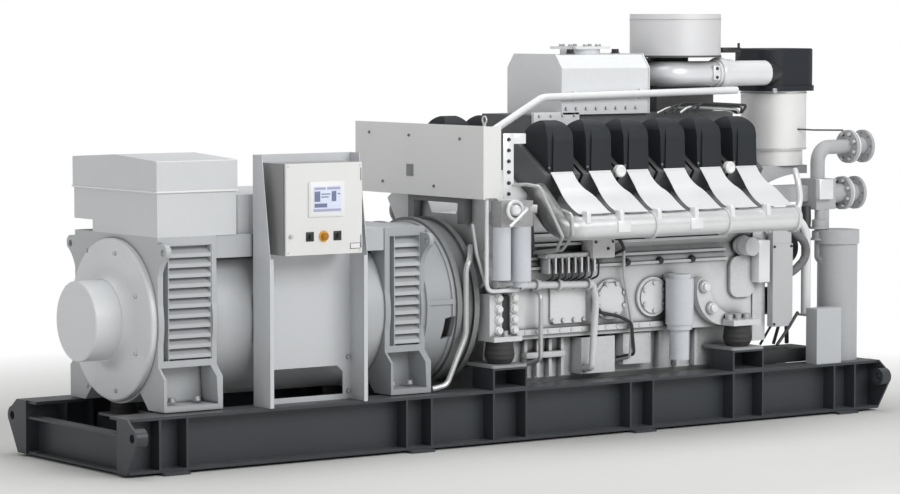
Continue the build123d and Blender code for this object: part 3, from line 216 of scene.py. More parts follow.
# Rubber bearings under the generator's feet and the engine's brackets: moulded in rings between
# steel plates, each held down by a stud with a hexagon nut on a round washer.
def moulded(name, colour, rings):
    """Moulded rubber: fine rings round it and a dull, uneven bloom."""
    finish = Finish(name, Roughness=0.72)
    up = finish.node("ShaderNodeSeparateXYZ", {}, {0: finish.place}, "Z")
    wave = finish.node("ShaderNodeMath", {"operation": "SINE"}, {0: up * rings})
    bloom = finish.noise(30.0, 5.0)
    return finish.shade(Base_Color=finish.mix(bloom, colour, tuple(c * 1.7 for c in colour)),
                        Roughness=bloom * 0.2 + 0.6, Normal=finish.height(wave, 0.0016))


coat(moulded("bearing_rubber", (0.030, 0.030, 0.031), 210.0), "engine_mounts", "generator_mounts")


def plated(name, colour, rough, metal=0.85):
    """Zinc-plated or bare steel of small fittings."""
    finish = Finish(name, Metallic=metal)
    spots = finish.noise(120.0, 4.0)
    tone = finish.mix(spots, tuple(c * 0.8 for c in colour), colour)
    gloss = spots * 0.2 + (rough - 0.1)
    return finish.shade(Base_Color=tone, Roughness=gloss, Normal=finish.height(finish.noise(300.0), 0.0003))


bolt_steel = plated("bolt_steel", (0.62, 0.63, 0.64), 0.38)
bright_zinc = plated("bright_zinc", (0.90, 0.90, 0.90), 0.35, 0.3)
dark_steel = plated("dark_steel", (0.06, 0.062, 0.066), 0.5, 0.5)


def pick(piece, wanted):
    """Opens a piece in edit mode with just the faces selected whose middle and normal are wanted."""
    bpy.ops.object.mode_set(mode="EDIT")
    bpy.ops.mesh.select_mode(type="FACE")
    bpy.ops.mesh.select_all(action="DESELECT")
    bpy.ops.object.mode_set(mode="OBJECT")
    for face in piece.data.polygons:
        face.select = wanted(face.center, face.normal)
    bpy.ops.object.mode_set(mode="EDIT")


def settle(piece, name, finish, body="generating_set"):
    """Puts a finished piece's place into its mesh, and gives it its finish, slot and body."""
    if bpy.context.object.mode == "EDIT":
        bpy.ops.object.mode_set(mode="OBJECT")
    bpy.ops.object.select_all(action="DESELECT")
    piece.select_set(True)
    bpy.context.view_layer.objects.active = piece
    bpy.ops.object.transform_apply(location=True, rotation=True, scale=True)
    smooth_below = radians(35)
    bpy.ops.object.shade_smooth_by_angle(angle=smooth_below)
    piece.name = piece.data.name = name
    piece.data.materials.clear()
    piece.data.materials.append(finish)
    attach(piece, body)
    return piece


def joined_piece(parts):
    """Joins parts into the first of them."""
    bpy.ops.object.select_all(action="DESELECT")
    for part in parts:
        part.select_set(True)
    bpy.context.view_layer.objects.active = parts[0]
    bpy.ops.object.join()
    return parts[0]


def bolts(name, across, spots, finish=bolt_steel, body="generating_set", washer=1.0):
    """Hexagon heads on washers in one piece: the first is modelled and copied to each (place, way)."""
    bpy.ops.object.select_all(action="DESELECT")
    bpy.ops.mesh.primitive_cylinder_add(vertices=12, radius=across * 0.72 * washer, depth=across * 0.14,
                                        location=(0, 0, across * 0.07))
    head = bpy.context.object
    pick(head, lambda middle, normal: normal.z > 0.9)
    bpy.ops.mesh.inset(thickness=across * (0.72 * washer - 0.56))
    bpy.ops.mesh.extrude_region_move(TRANSFORM_OT_translate={"value": (0, 0, across * 0.48)})
    bpy.ops.mesh.inset(thickness=across * 0.08)
    bpy.ops.transform.translate(value=(0, 0, across * 0.06))
    bpy.ops.object.mode_set(mode="OBJECT")
    bpy.ops.object.transform_apply(location=True)
    heads = []
    for place, way in spots:
        copy = head.copy()
        copy.data = head.data.copy()
        turn = Vector((0, 0, 1)).rotation_difference(Vector(way)).to_matrix().to_4x4()
        copy.data.transform(Matrix.Translation(place) @ turn)
        bpy.context.collection.objects.link(copy)
        heads.append(copy)
    bpy.data.objects.remove(head)
    return settle(joined_piece(heads), name, finish, body)


def ring(centre, radius, count, way, start=0.0):
    """Spots evenly round a circle that faces along way."""
    turn = Vector((0, 0, 1)).rotation_difference(Vector(way)).to_matrix()
    steps = [radians(start + 360.0 * n / count) for n in range(count)]
    return [(Vector(centre) + turn @ Vector((radius * cos(a), radius * sin(a), 0)), way) for a in steps]


to_front, to_back, to_left, to_right, to_top = (0, -1, 0), (0, 1, 0), (-1, 0, 0), (1, 0, 0), (0, 0, 1)
nut_places = [(-0.200, 0.614), (-0.130, 0.614), (1.560, 0.620), (1.627, 0.620), (1.694, 0.620)]
bolts("bearing_nuts", 0.046, [((x, y, z), to_top) for y in (-0.505, 0.505) for x, z in nut_places],
      washer=1.15)

# The generator: a welded round stator between two box-section frames, and a bolted end shield with
# the bearing cover on it, all sprayed silver grey. Louvre units are clipped into the frames. The stator,
# rear frame, drive frame and coupling housing get a darker grey as painted shade, with a little painted
# shade in the stator's corners; the end shield and bearing cover get a lighter grey as painted light.
shell_grey_shaded = paint("shell_grey_shaded", (0.47, 0.485, 0.50), 0.40, shift=0.03, corner_shade_reach=0.03)
coat(shell_grey_shaded, "generator_rear_frame", "stator_housing")
coat(paint("shield_grey_lit", (0.70, 0.715, 0.73), 0.38, shift=0.03), "end_shield", "bearing_cover")
coat(paint("frame_grey_shaded", (0.37, 0.385, 0.40), 0.42, shift=0.03), "generator_drive_frame", "coupling_housing")
coat(paint("louvre_grey", (0.50, 0.515, 0.53), 0.38, shift=0.03), "louvre_covers")
low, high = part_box("end_shield")
shaft = (low.z + high.z) / 2
shield_circle, foot_top = 0.405, 0.366
bolts("end_shield_bolts", 0.020, ring((low.x, 0, shaft), shield_circle, 8, to_left, 22.5), shell_grey_shaded)
bolts("foot_bolts", 0.036, [((x, y, foot_top), to_top) for x in (-2.31, -2.15, -0.86, -0.74)
                            for y in (-0.42, 0.42)])

# The terminal box on the generator: folded sheet steel with a lapped lid; the cable box stands
# beside it.
coat(paint("box_grey", (0.62, 0.635, 0.65), 0.38, shift=0.025), "terminal_box", "terminal_lid", "cable_box")

# The engine's castings: grey iron, painted over the sand-cast skin; the flywheel housing at its
# generator end and the heads between the shields are in a duller, darker coat.
engine_grey = Finish("engine_grey")
sand = engine_grey.noise(260.0, 4.0)
flow = engine_grey.noise(5.0, 5.0)
tone = engine_grey.mix(engine_grey.between(flow, 0.3, 0.7), (0.60, 0.61, 0.62), (0.74, 0.75, 0.76))
# Painted shade: the castings' corners and gaps are darkened by an ambient-occlusion mask.
tone = painted_corner_shade(engine_grey, tone, 0.09)
engine_grey = engine_grey.shade(Base_Color=tone, Roughness=flow * 0.25 + 0.36,
                                Normal=engine_grey.height(sand * 0.7 + flow * 0.3, 0.0016, 0.7))
coat(engine_grey, "crankcase")
# The flywheel housing, bracket and heads also get painted shade that darkens their corners and gaps.
dim_grey = paint("dim_grey", (0.24, 0.245, 0.25), 0.45, shift=0.10, grain=0.0012, corner_shade_reach=0.10)
coat(dim_grey, "flywheel_housing", "cabinet_bracket")
coat(paint("head_grey", (0.115, 0.118, 0.122), 0.45, shift=0.15, grain=0.0012, corner_shade_reach=0.10),
     "cylinder_heads", "valley_housing")

# The control stand: folded sheet with lips down both sides, open at the foot. Bolts run down both
# lips, and the stand carries the control cabinet.
coat(paint("stand_grey", (0.60, 0.615, 0.635), 0.36, shift=0.025), "control_stand")
lip_face = -0.459
bolts("stand_bolts", 0.020, [((x, lip_face, z), to_front) for x in (-1.785, -1.187)
                             for z in (0.36, 0.55, 1.62)], shell_grey_shaded)

# The control cabinet and its door: powder-coated sheet, with two black rotary selectors, the stop
# button, a display in a white bezel, a lock, hinges and a blank framed plate.
coat(paint("cabinet_white", (0.74, 0.74, 0.73), 0.34, shift=0.015), "cabinet_door", "long_cabinet")
coat(paint("cabinet_shell", (0.30, 0.30, 0.30), 0.38, shift=0.02), "control_cabinet")
coat(paint("panel_grey", (0.50, 0.51, 0.52), 0.38, shift=0.02), "junction_box")
coat(paint("small_box_grey", (0.50, 0.52, 0.54), 0.4, shift=0.03), "small_box")
black_plastic = paint("black_plastic", (0.02, 0.02, 0.021), 0.4, shift=0.1)
coat(black_plastic, "left_switch", "right_switch")
white_plastic = paint("white_plastic", (0.80, 0.80, 0.80), 0.35, shift=0.01)
coat(white_plastic, "display")
coat(paint("amber_plastic", (0.78, 0.42, 0.04), 0.32, shift=0.03), "stop_collar")
coat(paint("stop_amber", (0.42, 0.17, 0.02), 0.28, shift=0.05), "stop_button")


def plate(name, low, high, finish, body="generating_set", edge=0.0015, inset=0.0, lift=0.0):
    """A cut plate or box with broken edges; its -Y face may be set in or raised within a border."""
    bpy.ops.object.select_all(action="DESELECT")
    low, high = Vector(low), Vector(high)
    bpy.ops.mesh.primitive_cube_add(size=1, location=(low + high) / 2)
    piece = bpy.context.object
    piece.scale = high - low
    bpy.ops.object.transform_apply(location=True, rotation=True, scale=True)
    if inset:
        pick(piece, lambda middle, normal: normal.y < -0.9)
        bpy.ops.mesh.inset(thickness=inset)
        bpy.ops.transform.translate(value=(0, -lift, 0))
        bpy.ops.object.mode_set(mode="OBJECT")
    rounding = piece.modifiers.new("broken_edge", "BEVEL")
    rounding.width = edge
    rounding.segments = 2
    bpy.ops.object.modifier_apply(modifier="broken_edge")
    return settle(piece, name, finish, body)


# The lid's lapped lip is in the lighter white finish, a painted highlight along the lid's lower edge.
low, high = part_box("terminal_lid")
lap, lip = 0.005, 0.010
plate("lid_lip_highlight", (low.x - lap, low.y - lap, low.z), (high.x + lap, high.y + lap, low.z + lip), white_plastic,
      edge=0.002)
screen = paint("screen_glass", (0.70, 0.75, 0.90), 0.15, shift=0.03)
ink = paint("screen_ink", (0.17, 0.20, 0.32), 0.2, shift=0.02)
bar = paint("screen_bar", (0.40, 0.40, 0.56), 0.2, shift=0.02)
door = "cabinet_door"
plate("display_frame", (-1.602, -0.7075, 1.357), (-1.374, -0.7045, 1.549), white_plastic, door, 0.001)
plate("display_surround", (-1.597, -0.7095, 1.362), (-1.379, -0.7070, 1.544), white_plastic, door)
plate("screen_plate", (-1.578, -0.7110, 1.385), (-1.398, -0.7090, 1.526), screen, door, 0.0005)
block_front, block_back = -0.7116, -0.7108
blocks = [((-1.572, 1.505), (-1.50, 1.519)), ((-1.49, 1.505), (-1.404, 1.519)),
          ((-1.572, 1.44), (-1.535, 1.497)), ((-1.528, 1.478), (-1.470, 1.484)),
          ((-1.528, 1.462), (-1.480, 1.468)), ((-1.460, 1.44), (-1.430, 1.497)),
          ((-1.420, 1.478), (-1.404, 1.484)), ((-1.572, 1.408), (-1.49, 1.430))]
for n, ((x0, z0), (x1, z1)) in enumerate(blocks):
    plate(f"screen_block_{n}", (x0, block_front, z0), (x1, block_back, z1), ink if n > 1 else bar,
          door, 0.0002)
plate("screen_foot", (-1.578, -0.7117, 1.386), (-1.398, block_back, 1.400), bar, door, 0.0003)
for side, x in (("left", -1.595), ("right", -1.415)):
    plate(f"{side}_switch_surround", (x - 0.026, -0.7010, 1.224), (x + 0.026, -0.6975, 1.276),
          black_plastic, door, 0.002)
plate("door_plate_frame", (-1.332, -0.7000, 1.174), (-1.264, -0.6975, 1.206), dark_steel,
      door, 0.001)
plate("door_plate", (-1.329, -0.7012, 1.177), (-1.267, -0.6985, 1.203), white_plastic,
      door, 0.001)
door_face = -0.698
bolts("door_lock", 0.018, [((-1.719, door_face, 1.254), to_front)], bolt_steel, door)
for n, z in enumerate((1.215, 1.585)):
    plate(f"door_hinge_leaf_{n}", (-1.262, -0.7030, z - 0.035), (-1.250, -0.6975, z + 0.035), shell_grey_shaded,
          door, 0.0025)
bolts("door_screws", 0.006, [((x, door_face, z), to_front) for x in (-1.735, -1.265)
                             for z in (1.165, 1.635)], bolt_steel, door)

# The long cabinet over the coupling: a folded white case with quarter-turn locks on its lid and a
# blank plate. A lifting eye is screwed into its top.
lid_face = -0.386
lock_places = [(-0.419, 1.750), (-0.162, 1.470), (0.090, 1.758), (0.359, 1.479), (0.50, 1.765)]
bolts("long_cabinet_locks", 0.013, [((lid_face, y, z), to_left) for y, z in lock_places], dim_grey)
plate("long_cabinet_plate", (-0.3885, 0.045, 1.52), (-0.3855, 0.115, 1.59), dim_grey,
      edge=0.0008)


def eye(name, centre, radius, wire, way, finish):
    """A forged lifting eye: a ring on a short collar."""
    bpy.ops.object.select_all(action="DESELECT")
    bpy.ops.mesh.primitive_torus_add(major_radius=radius, minor_radius=wire, major_segments=24,
                                     minor_segments=10, location=centre, rotation=way)
    loop = bpy.context.object
    bpy.ops.mesh.primitive_cylinder_add(vertices=16, radius=wire * 2, depth=radius * 1.1,
                                        location=Vector(centre) - Vector((0, 0, radius * 1.35)))
    collar = bpy.context.object
    pick(collar, lambda middle, normal: normal.z < -0.9)
    bpy.ops.mesh.extrude_region_move(TRANSFORM_OT_translate={"value": (0, 0, -radius * 0.25)})
    bpy.ops.transform.resize(value=(1.5, 1.5, 1))
    bpy.ops.object.mode_set(mode="OBJECT")
    return settle(joined_piece([loop, collar]), name, finish)


eye("cabinet_lifting_eye", (-0.330, -0.58, 1.862), 0.020, 0.005, (0, radians(90), 0), bolt_steel)

# The crankcase and sump: grey iron, painted over the cast skin; bolted doors and discs along its
# side, hexagon screws along the sump rail.
# The sump, gear case, support, brackets and covers get painted shade that darkens their corners and gaps.
side_grey = paint("side_grey", (0.66, 0.67, 0.68), 0.38, shift=0.09, grain=0.0012, corner_shade_reach=0.06)
coat(side_grey, "oil_sump", "gear_case", "auxiliary_motor")
coat(paint("support_grey", (0.44, 0.45, 0.46), 0.42, shift=0.05, corner_shade_reach=0.05), "filter_support")
bracket_grey = paint("bracket_grey", (0.66, 0.67, 0.68), 0.34, shift=0.04, grain=0.0008, corner_shade_reach=0.04)
coat(bracket_grey, "rear_engine_brackets", "front_engine_brackets")
coat(paint("cover_grey", (0.72, 0.73, 0.74), 0.34, shift=0.05, grain=0.0008, corner_shade_reach=0.03), "crankcase_covers")
disc_face, disc_height = -0.449, 0.78
bolts("crankcase_disc_bolts", 0.022, ring((0.694, disc_face, disc_height), 0.098, 8, to_front, 22.5)
      + ring((1.018, disc_face, disc_height), 0.084, 6, to_front, 30), side_grey)
case_door_face = -0.434
bolts("crankcase_door_bolts", 0.020, [((0.385 + dx, case_door_face, 0.77 + dz), to_front)
                                      for dx in (-0.112, -0.04, 0.04, 0.112) for dz in (-0.098, 0.098)],
      side_grey)
rail_face, rail_height, rail_step = 0.437, 0.616, 0.085
bolts("rail_bolts", 0.022,
      [((-0.02 + n * rail_step, -rail_face, rail_height), to_front) for n in range(16)]
      + [((-0.02 + n * rail_step, rail_face, rail_height), to_back) for n in range(16)],
      side_grey)
bolts("crankcase_plugs", 0.034, [((x, -0.424, 0.993), to_front) for x in (0.829, 1.081, 1.329)],
      dark_steel)
sump_face, sump_height, sump_step = 0.322, 0.585, 0.105
bolts("sump_bolts", 0.018, [((-0.10 + n * sump_step, way[1] * sump_face, sump_height), way)
                            for n in range(18) for way in (to_front, to_back)], side_grey)
bolts("rear_bracket_bolts", 0.036, [((x, -0.535, 0.648 + n * 0.062), to_front) for x in (-0.197, -0.086)
                                    for n in range(4)], bright_zinc)
# A dark plate set in the gap between the rear bracket's bolt columns is painted shade.
plate("bracket_gap_shade", (-0.172, -0.520, 0.640), (-0.110, -0.500, 0.846), dark_steel,
      edge=0.002)
bolts("front_bracket_bolts", 0.044, [((1.375, -0.498, 0.826), to_front), ((1.431, -0.498, 0.694), to_front)],
      bright_zinc)

# The cylinder heads' black hoods: moulded covers, each held by a screw at the foot of its front
# panel. Two round white caps sit between them, low on the front.
hood_black = paint("hood_black", (0.017, 0.020, 0.025), 0.52, shift=0.10, grain=0.0010, Specular_IOR_Level=0.3)
coat(hood_black, "rocker_covers")
filter_hood_black = paint("filter_hood_black", (0.014, 0.017, 0.023), 0.45, shift=0.08, grain=0.0010,
                          Specular_IOR_Level=0.3)
coat(filter_hood_black, "air_filter_hood")
starts = [0.168 + 0.278 * n for n in range(6)]
half_pitch = 0.139
screw_face, screw_height = 0.650, 1.580
bolts("hood_screws", 0.010, [((x - 0.090, -screw_face, screw_height), to_front) for x in starts]
      + [((x + 0.130, screw_face, screw_height), to_back) for x in starts], dim_grey)
for n, x in enumerate((starts[1] + half_pitch, starts[4] + half_pitch)):
    bpy.ops.object.select_all(action="DESELECT")
    bpy.ops.mesh.primitive_cylinder_add(vertices=32, radius=0.036, depth=0.030, location=(x, -0.664, 1.550),
                                        rotation=(radians(90), 0, 0))
    cap = bpy.context.object
    pick(cap, lambda middle, normal: normal.z > 0.9)
    bpy.ops.mesh.inset(thickness=0.008)
    bpy.ops.transform.translate(value=(0, -0.006, 0))
    bpy.ops.mesh.inset(thickness=0.016)
    bpy.ops.transform.translate(value=(0, 0.010, 0))
    settle(cap, f"head_cap_{n}", white_plastic)


# Heat shields and the exhaust: satin stainless sheet over a round jacketed pipe, clamped in
# lengths; a small bent tab holds each shield's low corner to the pipe.
def sheet(name, colour, rough, metal, stretch):
    """Rolled sheet: fine drawn lines and slow stains in the gloss."""
    finish = Finish(name, Metallic=metal)
    lines = finish.noise(60.0, 4.0, stretch)
    stain = finish.noise(4.0, 4.0)
    drawn = lines * 0.5 + stain * 0.5
    tone = finish.mix(finish.between(drawn, 0.3, 0.7), tuple(c * 0.90 for c in colour), colour)
    gloss = lines * 0.12 + stain * 0.12 + (rough - 0.12)
    return finish.shade(Base_Color=tone, Roughness=gloss, Normal=finish.height(lines, 0.0003))


coat(sheet("shield_steel", (0.78, 0.795, 0.81), 0.40, 0.25, (1, 12, 12)), "heat_shields")
jacket = Finish("exhaust_jacket", Metallic=0.5)
along = jacket.node("ShaderNodeSeparateXYZ", {}, {0: jacket.place}, "X")
scale = jacket.noise(14.0, 5.0)
lines = jacket.noise(60.0, 4.0, (0.3, 8, 8))
# Painted shade: the jacket turns dark towards its low-X end at the elbow, with a ragged edge.
elbow_shade = jacket.between(along + scale * 0.12, 0.03, 0.24)
jacket_tone = jacket.mix(lines, (0.66, 0.67, 0.68), (0.80, 0.81, 0.81))
tone = jacket.mix(elbow_shade, (0.10, 0.10, 0.102), jacket_tone)
gloss = scale * 0.15 + lines * 0.10 + 0.22
coat(jacket.shade(Base_Color=tone, Roughness=gloss, Normal=jacket.height(lines, 0.0003)), "exhaust_manifolds")
coat(sheet("duct_steel", (0.70, 0.70, 0.71), 0.45, 0.2, (6, 6, 0.5)), "exhaust_outlet")
coat(sheet("canister_steel", (0.84, 0.84, 0.83), 0.38, 0.2, (6, 6, 0.5)), "air_filter_canister")
coat(sheet("turbo_jacket", (0.10, 0.10, 0.10), 0.55, 0.3, (3, 3, 3)), "turbocharger_block")
bright = sheet("bright_sheet", (0.86, 0.87, 0.88), 0.35, 0.3, (4, 4, 4))
for n, x in enumerate(starts):
    left = x - 0.035 if n else x
    plate(f"shield_tab_{n}", (left, -0.893, 1.268), (left + 0.030, -0.843, 1.338), bright,
          edge=0.003)
for n, x in enumerate((0.440, 0.983)):
    plate(f"pipe_plate_{n}", (x - 0.045, -0.896, 1.210), (x + 0.045, -0.886, 1.275), bright,
          edge=0.002)


# Small pipes on the engine's side: drawn steel tube, bent cold and held in union nuts. The oil
# gallery is thicker, with its own unions, and is painted like the castings.
def pipe(name, radius, bend, route, finish):
    """A closed round tube that follows its route with every corner bent alike."""
    route = [Vector(p) for p in route]
    points = [route[0]]
    nip = 0.35
    for before, corner, after in zip(route, route[1:], route[2:]):
        back, on = (before - corner).normalized(), (after - corner).normalized()
        points += [corner + back * bend, corner + back * bend * nip,
                   corner + on * bend * nip, corner + on * bend]
    points.append(route[-1])
    line = bpy.data.curves.new(name, "CURVE")
    line.dimensions = "3D"
    line.bevel_depth = radius
    line.bevel_resolution = 2 if radius < 0.02 else 7
    line.resolution_u = 3
    line.use_fill_caps = True
    run = line.splines.new("NURBS")
    run.points.add(len(points) - 1)
    for spot, point in zip(run.points, points):
        spot.co = (*point, 1)
    run.order_u, run.use_endpoint_u = 3, True
    tube = bpy.data.objects.new(name, line)
    bpy.context.collection.objects.link(tube)
    bpy.ops.object.select_all(action="DESELECT")
    tube.select_set(True)
    bpy.context.view_layer.objects.active = tube
    bpy.ops.object.convert(target="MESH")
    return settle(tube, name, finish)


tube_grey = plated("tube_grey", (0.62, 0.63, 0.63), 0.35, 0.4)
leak_lane, drain_lane, gallery_lane, gauge_lane = -0.888, -0.500, -0.490, -0.470
pipe("leak_pipe_long", 0.010, 0.03, [(-0.18, -0.655, 1.490), (-0.20, -0.80, 1.500), (-0.167, leak_lane, 1.488),
                                     (-0.082, leak_lane, 1.338), (-0.003, leak_lane, 1.199),
                                     (0.129, -0.66, 1.107), (0.129, -0.43, 1.08)], tube_grey)
pipe("leak_pipe_short", 0.009, 0.03, [(0.060, -0.80, 1.345), (0.060, leak_lane, 1.325),
                                      (0.069, leak_lane, 1.205), (0.168, -0.66, 1.105),
                                      (0.168, -0.43, 1.07)], tube_grey)
pipe("drain_pipe", 0.016, 0.05, [(-0.30, -0.40, 1.13), (-0.375, drain_lane, 1.060), (-0.400, drain_lane, 1.020),
                                 (-0.402, drain_lane, 0.632), (-0.537, drain_lane, 0.352),
                                 (-0.640, drain_lane, 0.336)], tube_grey)
pipe("return_pipe", 0.010, 0.04, [(-0.40, -0.56, 1.27), (-0.37, -0.56, 1.10), (-0.31, -0.56, 0.93),
                                  (-0.26, -0.45, 0.90)], tube_grey)
pipe("oil_gallery", 0.021, 0.03, [(-0.189, gallery_lane, 0.908), (0.136, gallery_lane, 0.893),
                                  (0.526, gallery_lane, 0.881), (0.549, gallery_lane, 0.786),
                                  (0.520, gallery_lane, 0.390), (0.520, -0.32, 0.36)], side_grey)
union_places = [(-0.02, 0.901), (0.10, 0.895), (0.26, 0.889), (0.48, 0.883)]
bolts("gallery_unions", 0.052, [((x, gallery_lane, z), to_right) for x, z in union_places], side_grey)
pipe("gauge_pipe", 0.009, 0.04, [(0.765, -0.42, 1.13), (0.773, gauge_lane, 1.110), (0.774, gauge_lane, 0.922),
                                 (0.821, gauge_lane, 0.706), (0.836, gauge_lane, 0.621),
                                 (0.822, gauge_lane, 0.431), (0.822, -0.33, 0.40)], tube_grey)
pipe("level_pipe", 0.010, 0.04, [(0.58, -0.42, 0.72), (0.602, -0.480, 0.706), (0.722, -0.480, 0.682),
                                 (0.815, -0.492, 0.641), (0.837, -0.492, 0.449), (0.837, -0.33, 0.42)],
     dark_steel)
plate("sump_clamp", (0.125, -0.375, 0.452), (0.412, -0.300, 0.486), side_grey, edge=0.004)
pipe("sump_pipe", 0.014, 0.05, [(0.135, -0.43, 0.86), (0.135, drain_lane, 0.84), (0.135, drain_lane, 0.46),
                                (0.135, -0.30, 0.40)], tube_grey)

# The injector cable rack below the shields: a folded channel with a row of clamped connectors,
# a bracket box at its end and a clip on a stud.
plate("rack_channel", (0.165, -0.505, 1.045), (0.570, -0.425, 1.070), side_grey, edge=0.003)
hook_step = 0.048
for n in range(8):
    x = 0.180 + n * hook_step
    plate(f"rack_hook_{n}", (x, -0.515, 0.955), (x + 0.014, -0.430, 1.048), bright if n % 2 else side_grey,
          edge=0.003)
    pipe(f"rack_lead_{n}", 0.006, 0.03, [(x + 0.024, -0.47, 1.06), (x + 0.03, -0.52, 1.01),
                                         (x + 0.03, -0.515, 0.93), (x + 0.03, -0.43, 0.90)],
         dark_steel)
plate("rack_box", (0.490, -0.535, 1.035), (0.655, -0.425, 1.150), paint("box_pale", (0.62, 0.62, 0.62), 0.4),
      edge=0.003, inset=0.014, lift=0.003)
bolts("rack_box_bolts", 0.014, [((0.51, -0.536, 1.13), to_front), ((0.635, -0.536, 1.13), to_front),
                                ((0.60, -0.539, 1.09), to_front)], dark_steel)
pipe("rack_clip", 0.010, 0.02, [(0.70, -0.42, 1.15), (0.70, -0.52, 1.14), (0.73, -0.53, 1.08),
                                (0.73, -0.42, 1.04)], dark_steel)

# The fuel filters: spun canisters in a cast head, with a handwheel, a change-over lever and a
# union. A hose leads from the head down to the crankcase.
enamel = Finish("canister_enamel")
up = enamel.node("ShaderNodeSeparateXYZ", {}, {0: enamel.place}, "Z")
cast = enamel.between(up, 1.250, 1.256)
wear = enamel.noise(40.0, 5.0)
spun = enamel.mix(wear, (0.55, 0.57, 0.61), (0.60, 0.62, 0.66))
rough_cast = enamel.mix(wear, (0.30, 0.30, 0.30), (0.46, 0.46, 0.46))
tone = enamel.mix(cast, spun, rough_cast)
gloss = cast * 0.2 + wear * 0.1 + 0.2
coat(enamel.shade(Base_Color=tone, Roughness=gloss, Normal=enamel.height(wear * cast, 0.002)),
     "canister_filters")
bpy.ops.object.select_all(action="DESELECT")
bpy.ops.mesh.primitive_torus_add(major_radius=0.052, minor_radius=0.010, major_segments=32, minor_segments=10,
                                 location=(-0.239, -0.752, 1.352), rotation=(radians(90), 0, 0))
wheel = bpy.context.object
bpy.ops.mesh.primitive_cylinder_add(vertices=20, radius=0.030, depth=0.040, location=(-0.239, -0.748, 1.352),
                                    rotation=(radians(90), 0, 0))
hub = bpy.context.object
pick(hub, lambda middle, normal: normal.z > 0.9)
bpy.ops.mesh.inset(thickness=0.010)
bpy.ops.transform.translate(value=(0, -0.010, 0))
bpy.ops.object.mode_set(mode="OBJECT")
settle(joined_piece([wheel, hub]), "filter_handwheel", bright)
pipe("filter_lever", 0.009, 0.02, [(-0.165, -0.735, 1.362), (-0.170, -0.778, 1.360), (-0.300, -0.785, 1.262)],
     bright)
pipe("filter_union", 0.026, 0.01, [(-0.12, -0.66, 1.352), (-0.075, -0.68, 1.352), (-0.045, -0.70, 1.350)],
     tube_grey)
pipe("filter_hose", 0.012, 0.04, [(-0.06, -0.66, 1.34), (-0.05, -0.66, 1.20), (-0.02, -0.63, 1.10),
                                  (-0.02, -0.45, 1.02)], dark_steel)

# The mounting strip and arm that hold the long cabinet's side to the first cylinder head: bright
# sheet steel, with a row of dark bolts down the strip.
plate("mount_strip", (-0.252, -0.656, 1.412), (-0.178, -0.650, 1.785), bright, edge=0.002)
plate("mount_arm", (-0.180, -0.656, 1.724), (-0.092, -0.600, 1.782), bright, edge=0.002)
bolts("mount_strip_bolts", 0.016, [((-0.215, -0.656, 1.44 + n * 0.062), to_front) for n in range(6)],
      dark_steel)

# The charge-air cooler: a bolted sheet-metal case on the valley housing, with an apron plate in
# front and two black valves on its top.
case_grey = paint("case_grey", (0.70, 0.715, 0.73), 0.36, shift=0.03, grain=0.0006)
coat(case_grey, "charge_air_cooler", "cooler_flange")
case_face, case_bolt_height = 0.262, 1.905
case_bolts = [0.50 + n * 0.075 for n in range(8)]
bolts("cooler_bolts", 0.016, [((x, -case_face, case_bolt_height), to_front) for x in case_bolts]
      + [((x, case_face, case_bolt_height), to_back) for x in case_bolts], side_grey)
plate("cooler_apron", (0.262, -case_face, 1.745), (0.600, -0.230, 1.885), case_grey,
      edge=0.003)
bolts("apron_bolts", 0.014, [((0.30 + n * 0.087, -case_face, z), to_front) for n in range(4)
                             for z in (1.765, 1.865)], side_grey)
low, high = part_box("charge_air_cooler")
for n, x in enumerate((0.640, 0.980)):
    bolts(f"cooler_valve_{n}", 0.040, [((x, -0.12, high.z), to_top)], black_plastic)
flange_x, flange_top, flange_circle = 0.805, 2.270, 0.118
bolts("flange_bolts", 0.022, ring((flange_x, 0, flange_top), flange_circle, 8, to_top, 22.5), side_grey)

# The intake pipe: rolled aluminium with a clamped sleeve; a strap plate with two screws sits by the
# sleeve. Bands and beads of bent wire close the filter canister and the duct's rim.
intake = sheet("intake_aluminium", (0.80, 0.81, 0.83), 0.32, 0.2, (0.3, 8, 8))
coat(intake, "intake_pipe")
axis_y, axis_z = -0.150, 2.10
run = pipe("intake_run", 0.078, 0.12, [(1.38, 0.06, axis_z), (1.38, axis_y, axis_z), (2.140, axis_y, axis_z)],
           intake)
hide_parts("intake_pipe")
bpy.ops.object.select_all(action="DESELECT")
bpy.ops.mesh.primitive_cylinder_add(vertices=40, radius=0.086, depth=0.14, location=(1.79, axis_y, axis_z),
                                    rotation=(0, radians(90), 0))
sleeve = bpy.context.object
pick(sleeve, lambda middle, normal: abs(normal.z) > 0.9)
bpy.ops.mesh.inset(thickness=0.006)
bpy.ops.object.mode_set(mode="OBJECT")
bpy.ops.mesh.primitive_cylinder_add(vertices=40, radius=0.098, depth=0.052, location=(1.765, axis_y, axis_z),
                                    rotation=(0, radians(90), 0))
band = bpy.context.object
edge = band.modifiers.new("rolled_edge", "BEVEL")
edge.width = 0.008
edge.segments = 3
bpy.ops.object.modifier_apply(modifier="rolled_edge")
settle(joined_piece([sleeve, band]), "intake_sleeve", intake)
pipe("hood_collar", 0.081, 0.02, [(2.135, -0.146, axis_z), (2.17, -0.144, axis_z), (2.24, -0.120, axis_z)],
     black_plastic)
plate("hood_spout", (1.811, -0.14, 2.226), (1.96, -0.06, 2.258), black_plastic, edge=0.006)
for label, centre, radius, wire in (("canister_band_top", (2.345, 0, 1.972), 0.2055, 0.005),
                                    ("canister_band_foot", (2.345, 0, 1.626), 0.2055, 0.004),
                                    ("duct_rim_bead", (1.545, 0, 2.432), 0.2795, 0.004)):
    bpy.ops.object.select_all(action="DESELECT")
    bpy.ops.mesh.primitive_torus_add(major_radius=radius, minor_radius=wire, major_segments=64,
                                     minor_segments=8, location=centre)
    settle(bpy.context.object, label, tube_grey)
